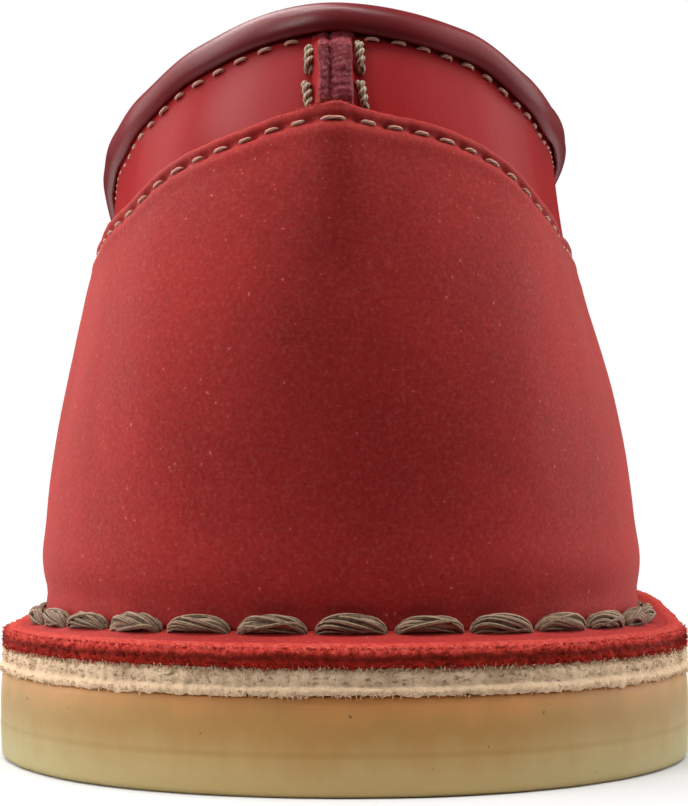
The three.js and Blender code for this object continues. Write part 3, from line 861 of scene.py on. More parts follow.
class SHOE_OT_crepe_sole(bpy.types.Operator):
    """Crepe sole: two sheets of rubber, cut to the outline and rounded at the floor"""

    bl_idname = "shoe.crepe_sole"
    bl_label = "Crepe sole"

    def execute(self, context):
        v = even_stations(721, -1, 1, 8)
        edge = margin(v)
        wave = 0.22 * rough(on_sole(v, edge, 0.0), 17.0) + 0.1 * rough(on_sole(v, edge, 0.0), 5.0, 3.0)
        turn = np.linspace(0, math.pi / 2, 9)
        profile = [(edge - 0.75 + 0.87 * math.sin(a), 0.8 * (1 - math.cos(a))) for a in turn]
        # The side, from the rounded foot up: how far it stands beyond the flange's edge, and its level.
        side = ((0.18, 2.0), (0.22, 2.5), (0.25, 3.1), (0.27, 3.8), (0.24, 4.1), (0.24, 4.5), (0.25, 5.2))
        side += ((0.26, 6.4), (0.23, 7.6), (0.15, 8.8), (0.04, 9.4), (-0.3, 9.66), (-4, 9.7))
        profile += [(edge + beyond, level) for beyond, level in side]
        share = [min(1.0, i / 4) for i in range(len(profile))]
        profile = [(beyond + wave * f, level) for (beyond, level), f in zip(profile, share)]
        rings = layer_rings(v, profile, (0, 0.3, 0.6, 0.85, 0.95), (0.6, 0))
        levels = [0.0] * 5 + [level / CREPE_TOP for _, level in profile] + [1.0] * 2
        sheet = loft(rings, marks=level_marks(levels, len(v)))
        close(sheet)
        colours = context.scene.shoe_colours
        shades = colours.crepe, colours.crepe_low, colours.crepe_top_lit, hexed("#8E6420"), hexed("#4A2A14")
        crepe = made("crepe_rubber", crepe_rubber, *shades)
        make_piece("crepe_sole", sheet, [crepe], "crepe", "outsole")
        return {"FINISHED"}


class SHOE_OT_midsole(bpy.types.Operator):
    """Midsole of pressed fibre: a split upper ply and a paler ragged ply that laps over the crepe"""

    bl_idname = "shoe.midsole"
    bl_label = "Midsole"

    def execute(self, context):
        v = even_stations(2901, -1, 1, 8)
        edge = margin(v)
        spots = on_sole(v, edge, 0.0)
        ragged = 0.24 * rough(spots, 2.1) + 0.3 * rough(spots, 0.6, 5.0) + 0.25 * rough(spots, 24.0, 9.0)
        worn = 0.22 * rough(spots, 3.3, 12.0) + 0.12 * rough(spots, 1.0, 15.0)
        split = 0.2 * rough(spots, 5.0, 21.0)
        profile = [
            (edge - 5, 9.6),
            (edge - 0.3, 9.62 + ragged * 0.9),
            (edge + 0.16, 9.7 + ragged),
            (edge + 0.28 + worn * 0.4, 9.86 + ragged),
            (edge + 0.26 + worn * 0.6, 10.15 + ragged * 0.6),
            (edge + 0.14 + worn, 10.5 + split),
            (edge - 0.12 + worn, 10.72 + split),
            (edge - 0.12 + worn, 10.95 + split),
            (edge - 0.06 + worn * 1.2, 11.3),
            (edge - 0.1 + worn * 1.2, 11.7),
            (edge - 0.3 + worn, 12.1),
            (edge - 0.5 + worn * 0.5, 12.36),
            (edge - 5, 12.38),
        ]
        rings = layer_rings(v, profile, (0,), (0,))
        out = np.concatenate([across(v), np.zeros((len(v), 1))], -1)
        rings += 0.14 * rough(rings, 0.7, 31.0)[..., None] * out
        levels = [(np.mean(level) - MIDSOLE_FOOT) / MIDSOLE_TALL for _, level in profile]
        sheet = loft(rings, marks=level_marks([0.0] + levels + [1.0], len(v)))
        close(sheet)
        make_piece("midsole_fibre", sheet, [fibre_board(context)], "midsole_fibre", "midsole")
        return {"FINISHED"}


class SHOE_OT_insole(bpy.types.Operator):
    """Insole of tan leather, laid inside the wall"""

    bl_idname = "shoe.insole"
    bl_label = "Insole"

    def execute(self, context):
        v = even_stations(241, -1, 1)
        inset = -WALL - 0.4
        profile = [(inset, 12.4), (inset, 14.6), (inset - 0.2, 15.0), (inset - 0.7, 15.2)]
        sheet = loft(layer_rings(v, profile, (0, 0.6), (0.9, 0.75, 0.5, 0.25, 0)))
        close(sheet)
        make_piece("insole_leather", sheet, [tan_lining(context)], "insole_leather", "insole")
        return {"FINISHED"}


class SHOE_OT_upper(bpy.types.Operator):
    """Upper: one wall on the last, open at collar and throat, turned outward below as the flange"""

    bl_idname = "shoe.upper"
    bl_label = "Upper and flange"

    def execute(self, context):
        v = even_stations(441, -1, 1)
        edge = margin(v)
        top = wall_top(v)
        wave = 0.25 * rough(on_sole(v, edge, 0.0), 11.0, 40.0)
        inside = [off_last(v, top * f, -WALL) for f in np.linspace(1, 0, 17)]
        flange = [
            (-WALL, FLANGE_BOTTOM),
            (edge - 2.4, FLANGE_BOTTOM),
            (edge - FLANGE_ROUND + wave, FLANGE_BOTTOM + 0.1),
            (edge - 0.3 + wave, FLANGE_BOTTOM + 0.6),
            (edge - 0.25 + wave, FLANGE_TOP - 0.8 + curl(v) * 0.6),
            (edge - 0.4 + wave, FLANGE_TOP - 0.45 + curl(v)),
            (edge - FLANGE_ROUND + wave, FLANGE_TOP - 0.2 + curl(v)),
        ]
        for f in (0.2, 0.4, 0.6, 0.8, 1.0):
            beyond = (edge - FLANGE_ROUND) * (1 - f) + ROOT_END * f
            flange.append((beyond, flange_level(v, beyond)))
        for beyond in (3.2, 2.2, 1.4, 0.75, ROOT_START):
            flange.append((beyond, flange_level(v, beyond)))
        turned = [on_sole(v, beyond, level) for beyond, level in flange]
        outside = [on_last(v, top * f) for f in np.linspace(0, 1, 61)]
        crown = [off_last(v, top, -WALL / 2) + [0, 0, 0.25]]
        rings = np.array(inside + turned + outside + crown + inside[:1])
        zones = np.zeros((len(rings) - 1, len(v) - 1), int)
        zones[: len(inside) + 1] = 1
        zones[len(inside) + 1 : len(inside) + 5] = 2
        middle = np.abs((v[1:] + v[:-1]) / 2)
        cut = np.zeros(zones.shape, bool)
        cut[-2:] = middle > VAMP_TOP
        level = np.ones(rings.shape[:2])
        level[: len(inside) + 5] = 0.7
        sheet = loft(rings, zones, cut, {"level": level})
        close(sheet)
        materials = [red_nubuck(context), tan_lining(context), raw_leather(context)]
        make_piece("upper_leather", sheet, materials, "red_nubuck", "upper")
        return {"FINISHED"}


class SHOE_OT_raw_flange(bpy.types.Operator):
    """Raw edge of the flange: matted cut fibres standing a little proud all round"""

    bl_idname = "shoe.raw_flange"
    bl_label = "Raw edge of the flange"

    def execute(self, context):
        v = even_stations(2401, -1, 1, 8)
        edge = margin(v)
        spots = on_sole(v, edge, 0.0)
        wave = 0.25 * rough(spots, 11.0, 40.0)
        fall = 0.18 * rough(spots, 6.0, 50.0)
        drip = 0.2 * rough(spots, 1.3, 53.0) + 0.16 * rough(spots, 0.5, 56.0)
        up = curl(v)
        profile = [
            (edge - 2.2, flange_level(v, edge - 2.2) - 0.1),
            (edge - 1.9, flange_level(v, edge - 1.9) + 0.04),
            (edge - 1.2 + wave, flange_level(v, edge - 1.2) + 0.1),
            (edge - 0.55 + wave, 14.26 + up + fall * 0.5),
            (edge - 0.12 + wave, 13.88 + up * 0.9 + fall),
            (edge + 0.02 + wave, 13.54 + up * 0.7 + fall),
            (edge + wave, 13.22 + up * 0.5 + fall),
            (edge - 0.06 + wave, 12.94 + up * 0.3 + fall * 0.7),
            (edge - 0.12 + wave, 12.68 + up * 0.1 + fall * 0.4 + drip * 0.4),
            (edge - 0.24 + wave, 12.46 + drip),
            (edge - 0.7 + wave, 12.34 + drip * 0.5),
            (edge - 2.0, 12.36),
        ]
        rings = np.array([on_sole(v, beyond, level) for beyond, level in profile])
        fray = context.scene.shoe_sizes.fray / MM
        tufts = fray * (0.7 * rough(rings, 0.75, 61.0) + 0.5 * rough(rings, 0.4, 67.0))
        share = np.array([0, 0, 0.2, 0.7, 1, 1, 1, 1, 1, 0.9, 0.5, 0])[:, None]
        outwards = np.concatenate([across(v), np.full((len(v), 1), 0.25)], -1)
        rings = rings + (tufts * share)[..., None] * outwards
        levels = [(np.mean(level - up) - FLANGE_BOTTOM) / RAW_TALL for _, level in profile]
        sheet = loft(rings, marks=level_marks(levels, len(v)))
        close(sheet)
        make_piece("flange_raw_edge", sheet, [raw_leather(context)], "raw_edge")
        return {"FINISHED"}


def loose_fibres(count, low, high, beyond, length, droop, seed):
    """Short hairs round the sole's edge: paths and how high each is rooted, in millimetres."""
    chance = np.random.default_rng(seed)
    round_the_sole = even_stations(6001, -1, 1, 8)
    v = chance.choice(round_the_sole, count) + chance.uniform(-1e-4, 1e-4, count)
    level = chance.uniform(low, high, count)
    root = on_sole(v, margin(v) + beyond, level)
    out = np.concatenate([across(v), np.zeros((count, 1))], -1)
    along = np.stack([-out[:, 1], out[:, 0], out[:, 2]], -1)
    up = np.array([0.0, 0.0, 1.0])
    leans = chance.uniform((0.25, -0.9, -0.6), (0.9, 0.9, 0.6), (count, 3))
    lean_out, lean_along, lean_up = leans.T[..., None]
    way = unit(out * lean_out + along * lean_along + up * (lean_up + droop))
    bend = unit(chance.normal(size=(count, 3))) * 0.25 + up * droop * 0.3
    reach = length * chance.uniform(0.45, 1.0, (count, 1))
    paths = np.stack([root - way * 0.12, root + way * reach * 0.5, root + way * reach + bend * reach], 1)
    return paths, level


def hairs(paths, roots, middles, levels):
    """Three-sided hairs through paths of three points, thick at their roots and pointed at their tips."""
    normals = np.zeros_like(paths)
    normals[..., 0], normals[..., 2] = 0.31, 0.95
    marks = {"level": np.repeat(levels[:, None], paths.shape[1], 1)}
    return tubes(paths, normals, np.array([[roots, middles, 1e-5]]), 3, marks=marks)


def torn_fibres(count, swell):
    """Short pale hairs on the counter's worn peak, most of them on its outer side."""
    chance = np.random.default_rng(7)
    x = np.clip(chance.normal(-1.2, 2.0, count), -5.0, 3.5)
    near = np.linspace(-0.1, 0.1, 401)
    v = np.interp(x, foot(near)[:, 0], near)
    top = at_height(v, counter_top(v) - chance.uniform(0.0, 0.7, count))
    root = off_last(v, top, COUNTER_OUT + swell * bell(x, SWELL_HALF) - 0.1)
    root[:, 2] += 0.4 * bell(x, 1.5)
    way = unit(outward(v, top) * 0.5 + chance.normal(size=(count, 3)))
    reach = chance.uniform(0.15, 0.5, (count, 1))
    paths = np.stack([root, root + way * reach * 0.5, root + way * reach + [0, 0, -0.1]], 1)
    return hairs(paths, 0.04, 0.035, np.full(count, 1.3))


class SHOE_OT_loose_fibres(bpy.types.Operator):
    """Loose fibres: short hairs that stand out of the flange's cut and the midsole's two plies"""

    bl_idname = "shoe.loose_fibres"
    bl_label = "Loose fibres"

    def execute(self, context):
        beddings = {"raw_edge": raw_leather(context), "midsole_fibre": fibre_board(context)}
        # name, count, low, high, beyond the edge, length, droop, thickness, foot and height of the zone, slot
        beds = (
            ("flange_fibres", 6500, 12.7, 14.2, -0.1, 0.62, 0.1, 0.06, 12.4, 2.2, "raw_edge"),
            ("flange_nap", 4500, 14.15, 14.35, -0.5, 0.42, 0.1, 0.05, 11.8, 2.2, "raw_edge"),
            ("flange_fringe", 4000, 12.45, 12.75, -0.12, 0.6, -0.5, 0.075, 12.4, 2.2, "raw_edge"),
            ("midsole_fibres", 7500, 10.9, 12.1, -0.2, 0.7, -0.1, 0.055, 9.7, 2.5, "midsole_fibre"),
            ("midsole_rise", 4000, 12.0, 12.35, -0.22, 0.55, 0.5, 0.07, 9.7, 2.5, "midsole_fibre"),
            ("midsole_fringe", 5000, 9.7, 10.3, 0.2, 0.5, -0.5, 0.07, 9.7, 2.5, "midsole_fibre"),
        )
        for seed, (name, *growth, thick, foot_z, tall, slot) in enumerate(beds):
            paths, level = loose_fibres(*growth, seed)
            sheet = hairs(paths, thick, thick * 0.8, (level - foot_z) / tall)
            make_piece(name, sheet, [beddings[slot]], slot)
        sheet = torn_fibres(260, context.scene.shoe_sizes.seam_swell / MM)
        make_piece("counter_fibres", sheet, [raw_leather(context)], "raw_edge")
        return {"FINISHED"}


def punch_eyelets(piece, side):
    """Cuts the lace holes through a quarter."""
    cutter = bmesh.new()
    for y in EYELETS:
        v = np.array(side * station_of(y))
        t = at_reach(v, EYELET_REACH)
        spot = (off_last(v, t, 1.2) + SHIFT) * MM
        turn = Vector((0, 0, 1)).rotation_difference(Vector(outward(v, t))).to_matrix().to_4x4()
        turn.translation = Vector(spot)
        bmesh.ops.create_cone(
            cutter, cap_ends=True, segments=28, radius1=EYELET_RADIUS * MM, radius2=EYELET_RADIUS * MM,
            depth=5.0 * MM, matrix=turn,
        )
    mesh = bpy.data.meshes.new("punch")
    cutter.to_mesh(mesh)
    cutter.free()
    punch = bpy.data.objects.new("punch", mesh)
    bpy.context.scene.collection.objects.link(punch)
    holes = piece.modifiers.new("Eyelets", "BOOLEAN")
    holes.object = punch
    holes.operation = "DIFFERENCE"
    holes.solver = "EXACT"
    bpy.context.view_layer.update()
    pierced = bpy.data.meshes.new_from_object(piece.evaluated_get(bpy.context.evaluated_depsgraph_get()))
    piece.modifiers.remove(holes)
    blank = piece.data
    piece.data = pierced
    pierced.name = piece.name
    bpy.data.meshes.remove(blank)
    bpy.data.objects.remove(punch)
    bpy.data.meshes.remove(mesh)
    pierced.set_sharp_from_angle(angle=math.radians(50))


class SHOE_OT_quarters(bpy.types.Operator):
    """Quarters: two sides of smoother leather over the wall, with punched facings"""

    bl_idname = "shoe.quarters"
    bl_label = "Quarters"

    def execute(self, context):
        for name, side in (("quarter_outer", -1), ("quarter_inner", 1)):
            back = np.linspace(0, CORNER, 121)
            shares = np.linspace(0, 1, 61)[1:]
            rings = []
            for d in np.linspace(0, 1, 57):
                v = side * np.concatenate([back, CORNER + (quarter_front(d) - CORNER) * shares])
                if d == 0:
                    rings.append(on_sole(v, QUARTER_OUT, QUARTER_LOW))
                rings.append(off_last(v, quarter_rise(v, d), QUARTER_OUT))
            sheet = loft(np.array(rings))
            thicken(sheet, Vector((side, 0, 0)), QUARTER_OUT - QUARTER_IN, 1)
            materials = [red_quarter(context), raw_leather(context)]
            piece = make_piece(f"{name}_leather", sheet, materials, "red_nubuck", name)
            punch_eyelets(piece, side)
        return {"FINISHED"}


def counter_top(v):
    """Height of the counter's edge at places round the last."""
    y = station_y(np.abs(v))
    return counter["height"](y) + np.where(v > 0, counter["inner"](y), counter["outer"](y))


def counter_line(inset):
    """The counter's stitch line: places, fractions up, and the run along it from the middle."""
    v = np.linspace(-COUNTER_END, COUNTER_END, 3001)
    top = at_height(v, counter_top(v))
    t = top - inset * tight(v, top) / climb_rate(v, top)
    run = run_along(off_last(v, t, COUNTER_OUT))
    return v, t, run - np.interp(0, v, run)


def tight(v, top):
    """How far the edge's details are squeezed where the counter runs out at the front."""
    tall = on_last(v, top)[..., 2] - FEATHER
    return np.clip(tall / 14.0, 0.1, 1.0)


def off_middle(spots):
    """Distance from the shoe's middle, with the lean of the heel taken out."""
    return spots[:, 0] + lean(spots[:, 2])


def pared(spots, w):
    """How the counter's edge is pared along the sides; behind the outer ankle it stands a little proud."""
    x = off_middle(spots)
    inner = -0.6 * smoothstep(x, 15, 26)
    outer = (0.35 - 0.65 * smoothstep(spots[:, 1], 18, 34)) * smoothstep(-x, 15, 26)
    return (inner + outer) * (1 - smoothstep(w, 0.0, 6.0))


def seated(spots, w, swell):
    """How far the seam's end lifts the counter, less where it is drawn in below the inner ankle."""
    x, y, z = off_middle(spots), spots[:, 1], spots[:, 2]
    lifted = swell * bell(x, SWELL_HALF) * (1 - smoothstep(w, 0.0, SWELL_FADE))
    return lifted - 0.75 * bell(z - 53, 9.0) * smoothstep(x, 13, 25) * (1 - smoothstep(y, 55, 80))


class SHOE_OT_heel_counter(bpy.types.Operator):
    """Heel counter: nubuck over both quarters, its raw edge peaked where it laps the back seam"""

    bl_idname = "shoe.heel_counter"
    bl_label = "Heel counter"

    def execute(self, context):
        sizes = context.scene.shoe_sizes
        inset = sizes.stitch_inset / MM
        v = even_stations(641, -COUNTER_END, COUNTER_END, 3.6)
        top = at_height(v, counter_top(v))
        speed, squeeze = climb_rate(v, top), tight(v, top)
        brim = on_last(v, top)
        nicks = 0.12 * rough(brim, 1.3, 33.0) + 0.4 * bell(brim[:, 0] + 0.6, 1.5)
        line_v, _, line_run = counter_line(inset)
        run = np.interp(v, line_v, line_run)
        # Rows by their distance below the edge, close together over the groove, then on down to the foot.
        near_edge = (0, 0.1, 0.25, 0.45, 0.7, 0.95, 1.2, 1.4, 1.6, 1.75)
        near_edge += (1.9, 2.05, 2.2, 2.4, 2.65, 3, 3.5, 4.2, 5.2)
        rows = [(w, top - w * squeeze / speed) for w in near_edge]
        last_w, last_t = rows[-1]
        for f in np.concatenate([np.linspace(0, 0.7, 17)[1:], np.linspace(0.7, 1, 16)[1:]]):
            rows.append((last_w + last_t * f * speed, last_t * (1 - f)))
        rings = []
        for w, t in rows:
            ring = off_last(v, t, COUNTER_OUT + self.relief(v, t, w, run, squeeze, sizes))
            ring[:, 2] += nicks * squeeze * bell(w, 0.8)
            rings.append(ring)
        rings.append(on_sole(v, COUNTER_OUT, COUNTER_LOW))
        sheet = loft(np.array(rings))
        thicken(sheet, Vector((0, -1, 0)), COUNTER_OUT - COUNTER_IN, 1)
        materials = [red_nubuck(context), raw_leather(context)]
        make_piece("heel_counter_nubuck", sheet, materials, "red_nubuck", "heel_counter")
        return {"FINISHED"}

    @staticmethod
    def relief(v, t, w, run, squeeze, sizes):
        """How far the counter stands off its even thickness: edge, groove, swell and creases."""
        inset, pitch = sizes.stitch_inset / MM, sizes.counter_pitch / MM
        depth = sizes.groove_depth / MM
        spots = on_last(v, t)
        z = spots[:, 2]
        edge = -0.4 * bell(w, 0.16) + 0.12 * bell(w - 0.9, 0.5) + pared(spots, w)
        passed = (np.abs(run) - FIRST_STITCH) / pitch
        hole = bell((passed - np.floor(passed) - 0.5) * pitch, 0.42) * (np.abs(run) > 1.2)
        groove = -depth * (0.55 + 0.9 * hole) * bell(w - inset, 0.42)
        below = 0.14 * bell(w - inset - 1.3, 0.7)
        trough = -0.5 * bell(z - 18.6, 1.3) * (0.65 + 0.6 * rough(spots, 26.0, 4.0))
        ridge = 0.3 * bell(z - 22.4, 2.2) * (0.7 + 0.7 * rough(spots, 30.0, 8.0))
        soft = 0.2 * rough(spots, 19.0, 14.0) + 0.05 * rough(spots, 4.0, 17.0)
        calm = smoothstep(w, 2.0, 7.0)
        lying = seated(spots, w, sizes.seam_swell / MM)
        return (edge + groove + below) * squeeze + lying + (trough + ridge + soft) * calm


def rounded(points, cuts):
    """A closed outline with its corners cut again and again until it is smooth."""
    outline = np.array(points, float)
    for _ in range(cuts):
        ahead = np.roll(outline, -1, axis=0)
        outline = np.stack([0.75 * outline + 0.25 * ahead, 0.25 * outline + 0.75 * ahead], 1).reshape(-1, 2)
    return np.concatenate([outline, outline[:1]])


def cap_ends(sheet):
    """Closes the open ends of a carried section."""
    bmesh.ops.remove_doubles(sheet, verts=sheet.verts, dist=WELD)
    bmesh.ops.holes_fill(sheet, edges=[edge for edge in sheet.edges if edge.is_boundary], sides=0)
    bmesh.ops.recalc_face_normals(sheet, faces=sheet.faces)


class SHOE_OT_collar_binding(bpy.types.Operator):
    """Collar binding: a strip of dark leather folded over the wall and the quarters"""

    bl_idname = "shoe.collar_binding"
    bl_label = "Collar binding"

    def execute(self, context):
        v = even_stations(421, -CORNER, CORNER)
        outline = rounded(
            [
                (-2.3, -1.5),
                (-2.2, 0.6),
                (2.0, 0.6),
                (2.0, -1.6),
                (2.5, -1.95),
                (3.3, -1.3),
                (3.65, 0.3),
                (3.05, 1.8),
                (1.85, 2.65),
                (0.3, 2.95),
                (-1.9, 2.6),
                (-3.3, 1.2),
                (-3.5, -1.2),
                (-2.9, -1.75),
            ],
            2,
        )
        spot, face = on_last(v, 1.0), outward(v, 1.0)
        up = unit(on_last(v, 1.0) - on_last(v, 0.999))
        rings = spot[:, None] + outline[None, :, :1] * face[:, None] + outline[None, :, 1:] * up[:, None]
        rings[..., 0] += 0.2 * (1 - smoothstep(spot[:, 1], 20, 60))[:, None]
        facing = np.clip(outline[:, 0] / 3, 0, 1) * np.clip(1.2 - outline[:, 1] / 2, 0, 1)
        over_seam = 0.5 * bell(off_middle(spot), 3.2)[:, None] * facing
        rings = rings + (over_seam + 0.07 * rough(rings, 9.0, 70.0))[..., None] * face[:, None]
        sheet = loft(rings)
        cap_ends(sheet)
        # The roll shines at the outer side of the back, where it is pulled on.
        rubbed = quarter_spot(-station_of(0.6), 1.0), 5, 14, 0.37
        shades = context.scene.shoe_colours.binding, hexed("#6A1E21")
        binding = made("waxed_binding_leather", smooth_leather, *shades, 0.45, 0.28, 0.09, rubbed)
        make_piece("collar_binding_leather", sheet, [binding], "binding_leather", "collar_binding")
        return {"FINISHED"}


class SHOE_OT_back_seam(bpy.types.Operator):
    """Back seam: the quarters' two raw edges side by side, running under binding and counter"""

    bl_idname = "shoe.back_seam"
    bl_label = "Back seam"

    def execute(self, context):
        low, high = QUARTER_OUT - 0.2, QUARTER_OUT + 0.3 + SEAM_PROUD
        side = SEAM_HALF
        left = [(-side - 0.15, low), (-side + 0.05, low + 0.5), (-1.62, high - 0.8), (-1.42, high - 0.25)]
        left += [(-1.3, high - 0.06), (-1.1, high), (-0.75, high - 0.02), (-0.45, high - 0.1)]
        groove = [(-0.3, high - 0.35), (-0.18, high - 0.6), (-0.06, high - 0.32), (0.1, high - 0.02)]
        right = [(0.5, high + 0.06), (1.2, high + 0.1), (side - 0.25, high + 0.05), (side - 0.06, high - 0.1)]
        right += [(side + 0.02, high - 0.4), (side + 0.06, high - 1.1)]
        right += [(side + 0.14, low + 0.5), (side + 0.4, low)]
        outline = np.array(left + groove + right)
        z = np.linspace(62.8, SEAM_TOP + 0.9, 90)
        middle = np.zeros_like(z)
        t = at_height(middle, z)
        spot, face = on_last(middle, t), outward(middle, t)
        sink = 1.7 * (1 - smoothstep(z, 64.8, 67.6)) + 1.9 * smoothstep(z, 72.9, SEAM_TOP + 0.4)
        off = outline[None, :, 1] - sink[:, None] * smoothstep(outline[None, :, 1], low, high)
        rings = spot[:, None] + off[..., None] * face[:, None]
        rings[..., 0] += outline[None, :, 0]
        rings[..., 0] += 0.12 * rough(rings, 2.6, 86.0) + 0.1 * rough(rings, 0.7, 89.0)
        scuff = 0.16 * rough(rings, 1.6, 80.0) + 0.16 * rough(rings, 0.55, 83.0)
        rings = rings + (scuff * smoothstep(outline[None, :, 1], low, high))[..., None] * face[:, None]
        cut_face = np.abs((outline[1:, 0] + outline[:-1, 0]) / 2 - 0.34) < side - 0.3
        zones = np.repeat(cut_face[None, :].astype(int), len(z) - 1, 0)
        sheet = loft(rings, zones, marks={"level": np.full(rings.shape[:2], 0.9)})
        thicken(sheet, Vector((0, -1, 0)), 0.5, 0)
        shades = context.scene.shoe_colours.seam, hexed("#5A161C"), hexed("#E4A0A4")
        scuffed = made("scuffed_seam_edge", nubuck, *shades, 0.9, 0.55, 0.28)
        make_piece("back_seam_edges", sheet, [red_quarter(context), scuffed], "raw_edge", "back_seam")
        return {"FINISHED"}


class SHOE_OT_tongue(bpy.types.Operator):
    """Tongue: a sheet of nubuck under the facings, bowed like the instep"""

    bl_idname = "shoe.tongue"
    bl_label = "Tongue"

    def execute(self, context):
        hinge = 122.0
        slope = float(ridge_slope(station_of(hinge + 4)))
        rings = []
        for y in np.linspace(98, 196, 91):
            u = np.array(station_of(max(y, hinge)))
            ridge = float(last["inner_top"](u)) + (slope * (y - hinge) * 0.6 if y < hinge else 0.0)
            half = float(tongue["half"](y))
            distances, heights = section(u)[2:]
            edge = float(climb(distances, heights, at_reach(u, 22.0))[1])
            bow = float(last["inner_top"](u)) - edge
            x = np.linspace(-1, 1, 41) * half
            z = ridge - float(tongue["under"](y)) - bow * (x / 22.0) ** 2 * 1.02
            rings.append(np.stack([plan["centre"](y) + x - lean(z), np.full_like(x, y), z], -1))
        rings = np.array(rings)
        rings[..., 2] += 0.15 * rough(rings, 14.0, 90.0)
        sheet = loft(rings)
        thicken(sheet, Vector((0, 0, 1)), TONGUE_THICK, 1)
        materials = [red_nubuck(context), raw_leather(context)]
        make_piece("tongue_nubuck", sheet, materials, "red_nubuck", "tongue")
        return {"FINISHED"}


def tubes(paths, normals, radii, sides, flat=1.0, marks=None):
    """Round cords through many paths at once: paths and normals are (cords, points, 3), in millimetres."""
    cords, points = paths.shape[:2]
    along = unit(np.gradient(paths, axis=1))
    beside = unit(np.cross(along, normals))
    above = np.cross(beside, along)
    angle = np.linspace(0, 2 * np.pi, sides + 1)
    radii = np.broadcast_to(radii, (cords, points))[..., None, None]
    spokes = np.cos(angle)[:, None] * above[:, :, None] * flat + np.sin(angle)[:, None] * beside[:, :, None]
    rings = (paths[:, :, None] + radii * spokes).reshape(cords * points, sides + 1, 3)
    cut = np.zeros((cords * points - 1, sides), bool)
    cut[points - 1 :: points] = True
    marks = {name: np.repeat(mark.reshape(-1, 1), sides + 1, 1) for name, mark in (marks or {}).items()}
    sheet = loft(rings, cut=cut, marks=marks)
    close(sheet)
    return sheet


def stitch_row(start, end, pitch, length):
    """Places and lengths of the stitches of a row, by the run along it."""
    places = np.arange(start, end, pitch)
    return np.stack([places, length * (1 + 0.12 * np.sin(places * 7.3))], -1)


def fine_stitches(v, t, offset, row, radius, origin=0):
    """Running stitches of fine thread along a line on the shoe, each dipping into the leather at its ends."""
    line = off_last(v, t, offset)
    run = run_along(line)
    run = run - run[origin]
    row = row[(row[:, 0] - row[:, 1] / 2 > run[0]) & (row[:, 0] + row[:, 1] / 2 < run[-1])]
    share = np.linspace(-1, 1, 11)
    places = row[:, :1] + share[None, :] * row[:, 1:] / 2
    spots = read_along(places, run, line)
    normals = unit(read_along(places, run, outward(v, t)))
    height = 0.14 - 0.6 * np.abs(share) ** 4
    radii = radius * np.sqrt(np.maximum(0.0, 1 - np.abs(share) ** 5)) + 1e-5
    return tubes(spots + normals * height[None, :, None], normals, radii[None, :], 8)


def fine_thread(context):
    colours = context.scene.shoe_colours
    # A06E5C is painted shade for the thread's furrows.
    return made("waxed_stitching_thread", spun_yarn, colours.thread, hexed("#A06E5C"), 60.0, 0.35)


class SHOE_OT_stitching(bpy.types.Operator):
    """Fine running stitches under the binding, along the counter's edge and round the quarters' fronts"""

    bl_idname = "shoe.stitching"
    bl_label = "Fine stitching"

    def execute(self, context):
        sizes = context.scene.shoe_sizes
        inset, pitch, length = sizes.stitch_inset / MM, sizes.stitch_pitch / MM, sizes.stitch_length / MM
        radius = sizes.thread_radius / MM
        v, t, run = counter_line(inset)
        spots = on_last(v, t)
        sunk = sizes.groove_depth / MM * 0.5 + 0.15 * smoothstep(np.abs(off_middle(spots)), 16, 25)
        offset = COUNTER_OUT + seated(spots, inset, sizes.seam_swell / MM) + pared(spots, inset) - sunk
        row = stitch_row(FIRST_STITCH, run[-1] - 3, sizes.counter_pitch / MM, length)
        row = np.concatenate([row, row * [-1, 1], [[0.0, BACK_STITCH]]])
        sheet = fine_stitches(v, t, offset, row, radius, len(v) // 2)
        make_piece("counter_stitches", sheet, [fine_thread(context)], "lace_cord")

        v = np.linspace(-CORNER + 0.002, CORNER - 0.002, 3001)
        x = on_last(v, 1.0)[:, 0]
        below = 2.2 + 0.35 * smoothstep(-x, 4, 14) - 0.35 * bell(x - 6, 6)
        t = 1 - below / climb_rate(v, 1.0)
        # The rows stop short of the seam, and sink in along the sides.
        offset = QUARTER_OUT + 0.15 - 0.4 * smoothstep(np.abs(x), 17, 24)
        row = stitch_row(4.25, 200.0, pitch, length)
        row = np.concatenate([row, row * [-1, 1]])
        sheet = fine_stitches(v, t, offset, row, radius, len(v) // 2)
        make_piece("collar_stitches", sheet, [fine_thread(context)], "lace_cord")

        for name, side in (("outer", -1), ("inner", 1)):
            d = np.linspace(0.06, 0.86, 900)
            u = quarter_front(d)
            t = quarter_rise(side * u, d)
            step = np.linalg.norm(on_last(side * (u - 0.002), t) - on_last(side * u, t), axis=-1) / 0.002
            u_in = u - FRONT_INSET / step
            facing_u = np.linspace(u_in[-1], CORNER + 0.004, 900)[1:]
            facing_t = at_reach(side * facing_u, FACING_GAP + FRONT_INSET)
            blend = smoothstep(np.linspace(0, 1, len(facing_u)), 0.0, 0.12)
            facing_t = t[-1] * (1 - blend) + facing_t * blend
            v = side * np.concatenate([u_in, facing_u])
            t = np.concatenate([t, facing_t])
            sheet = fine_stitches(v, t, QUARTER_OUT + 0.12, stitch_row(1.0, 400.0, pitch, length), radius)
            make_piece(f"quarter_{name}_stitches", sheet, [fine_thread(context)], "lace_cord")
        return {"FINISHED"}


def twine_line():
    """Line of the sole twine: close to the wall's outermost leather, on the flange."""
    v = even_stations(6001, -1, 1, 5)
    y = station_y(np.abs(v))
    beyond = 4.75 - 1.5 * smoothstep(y, 85, 122) - 0.9 * smoothstep(y, 150, 185)
    return v, beyond


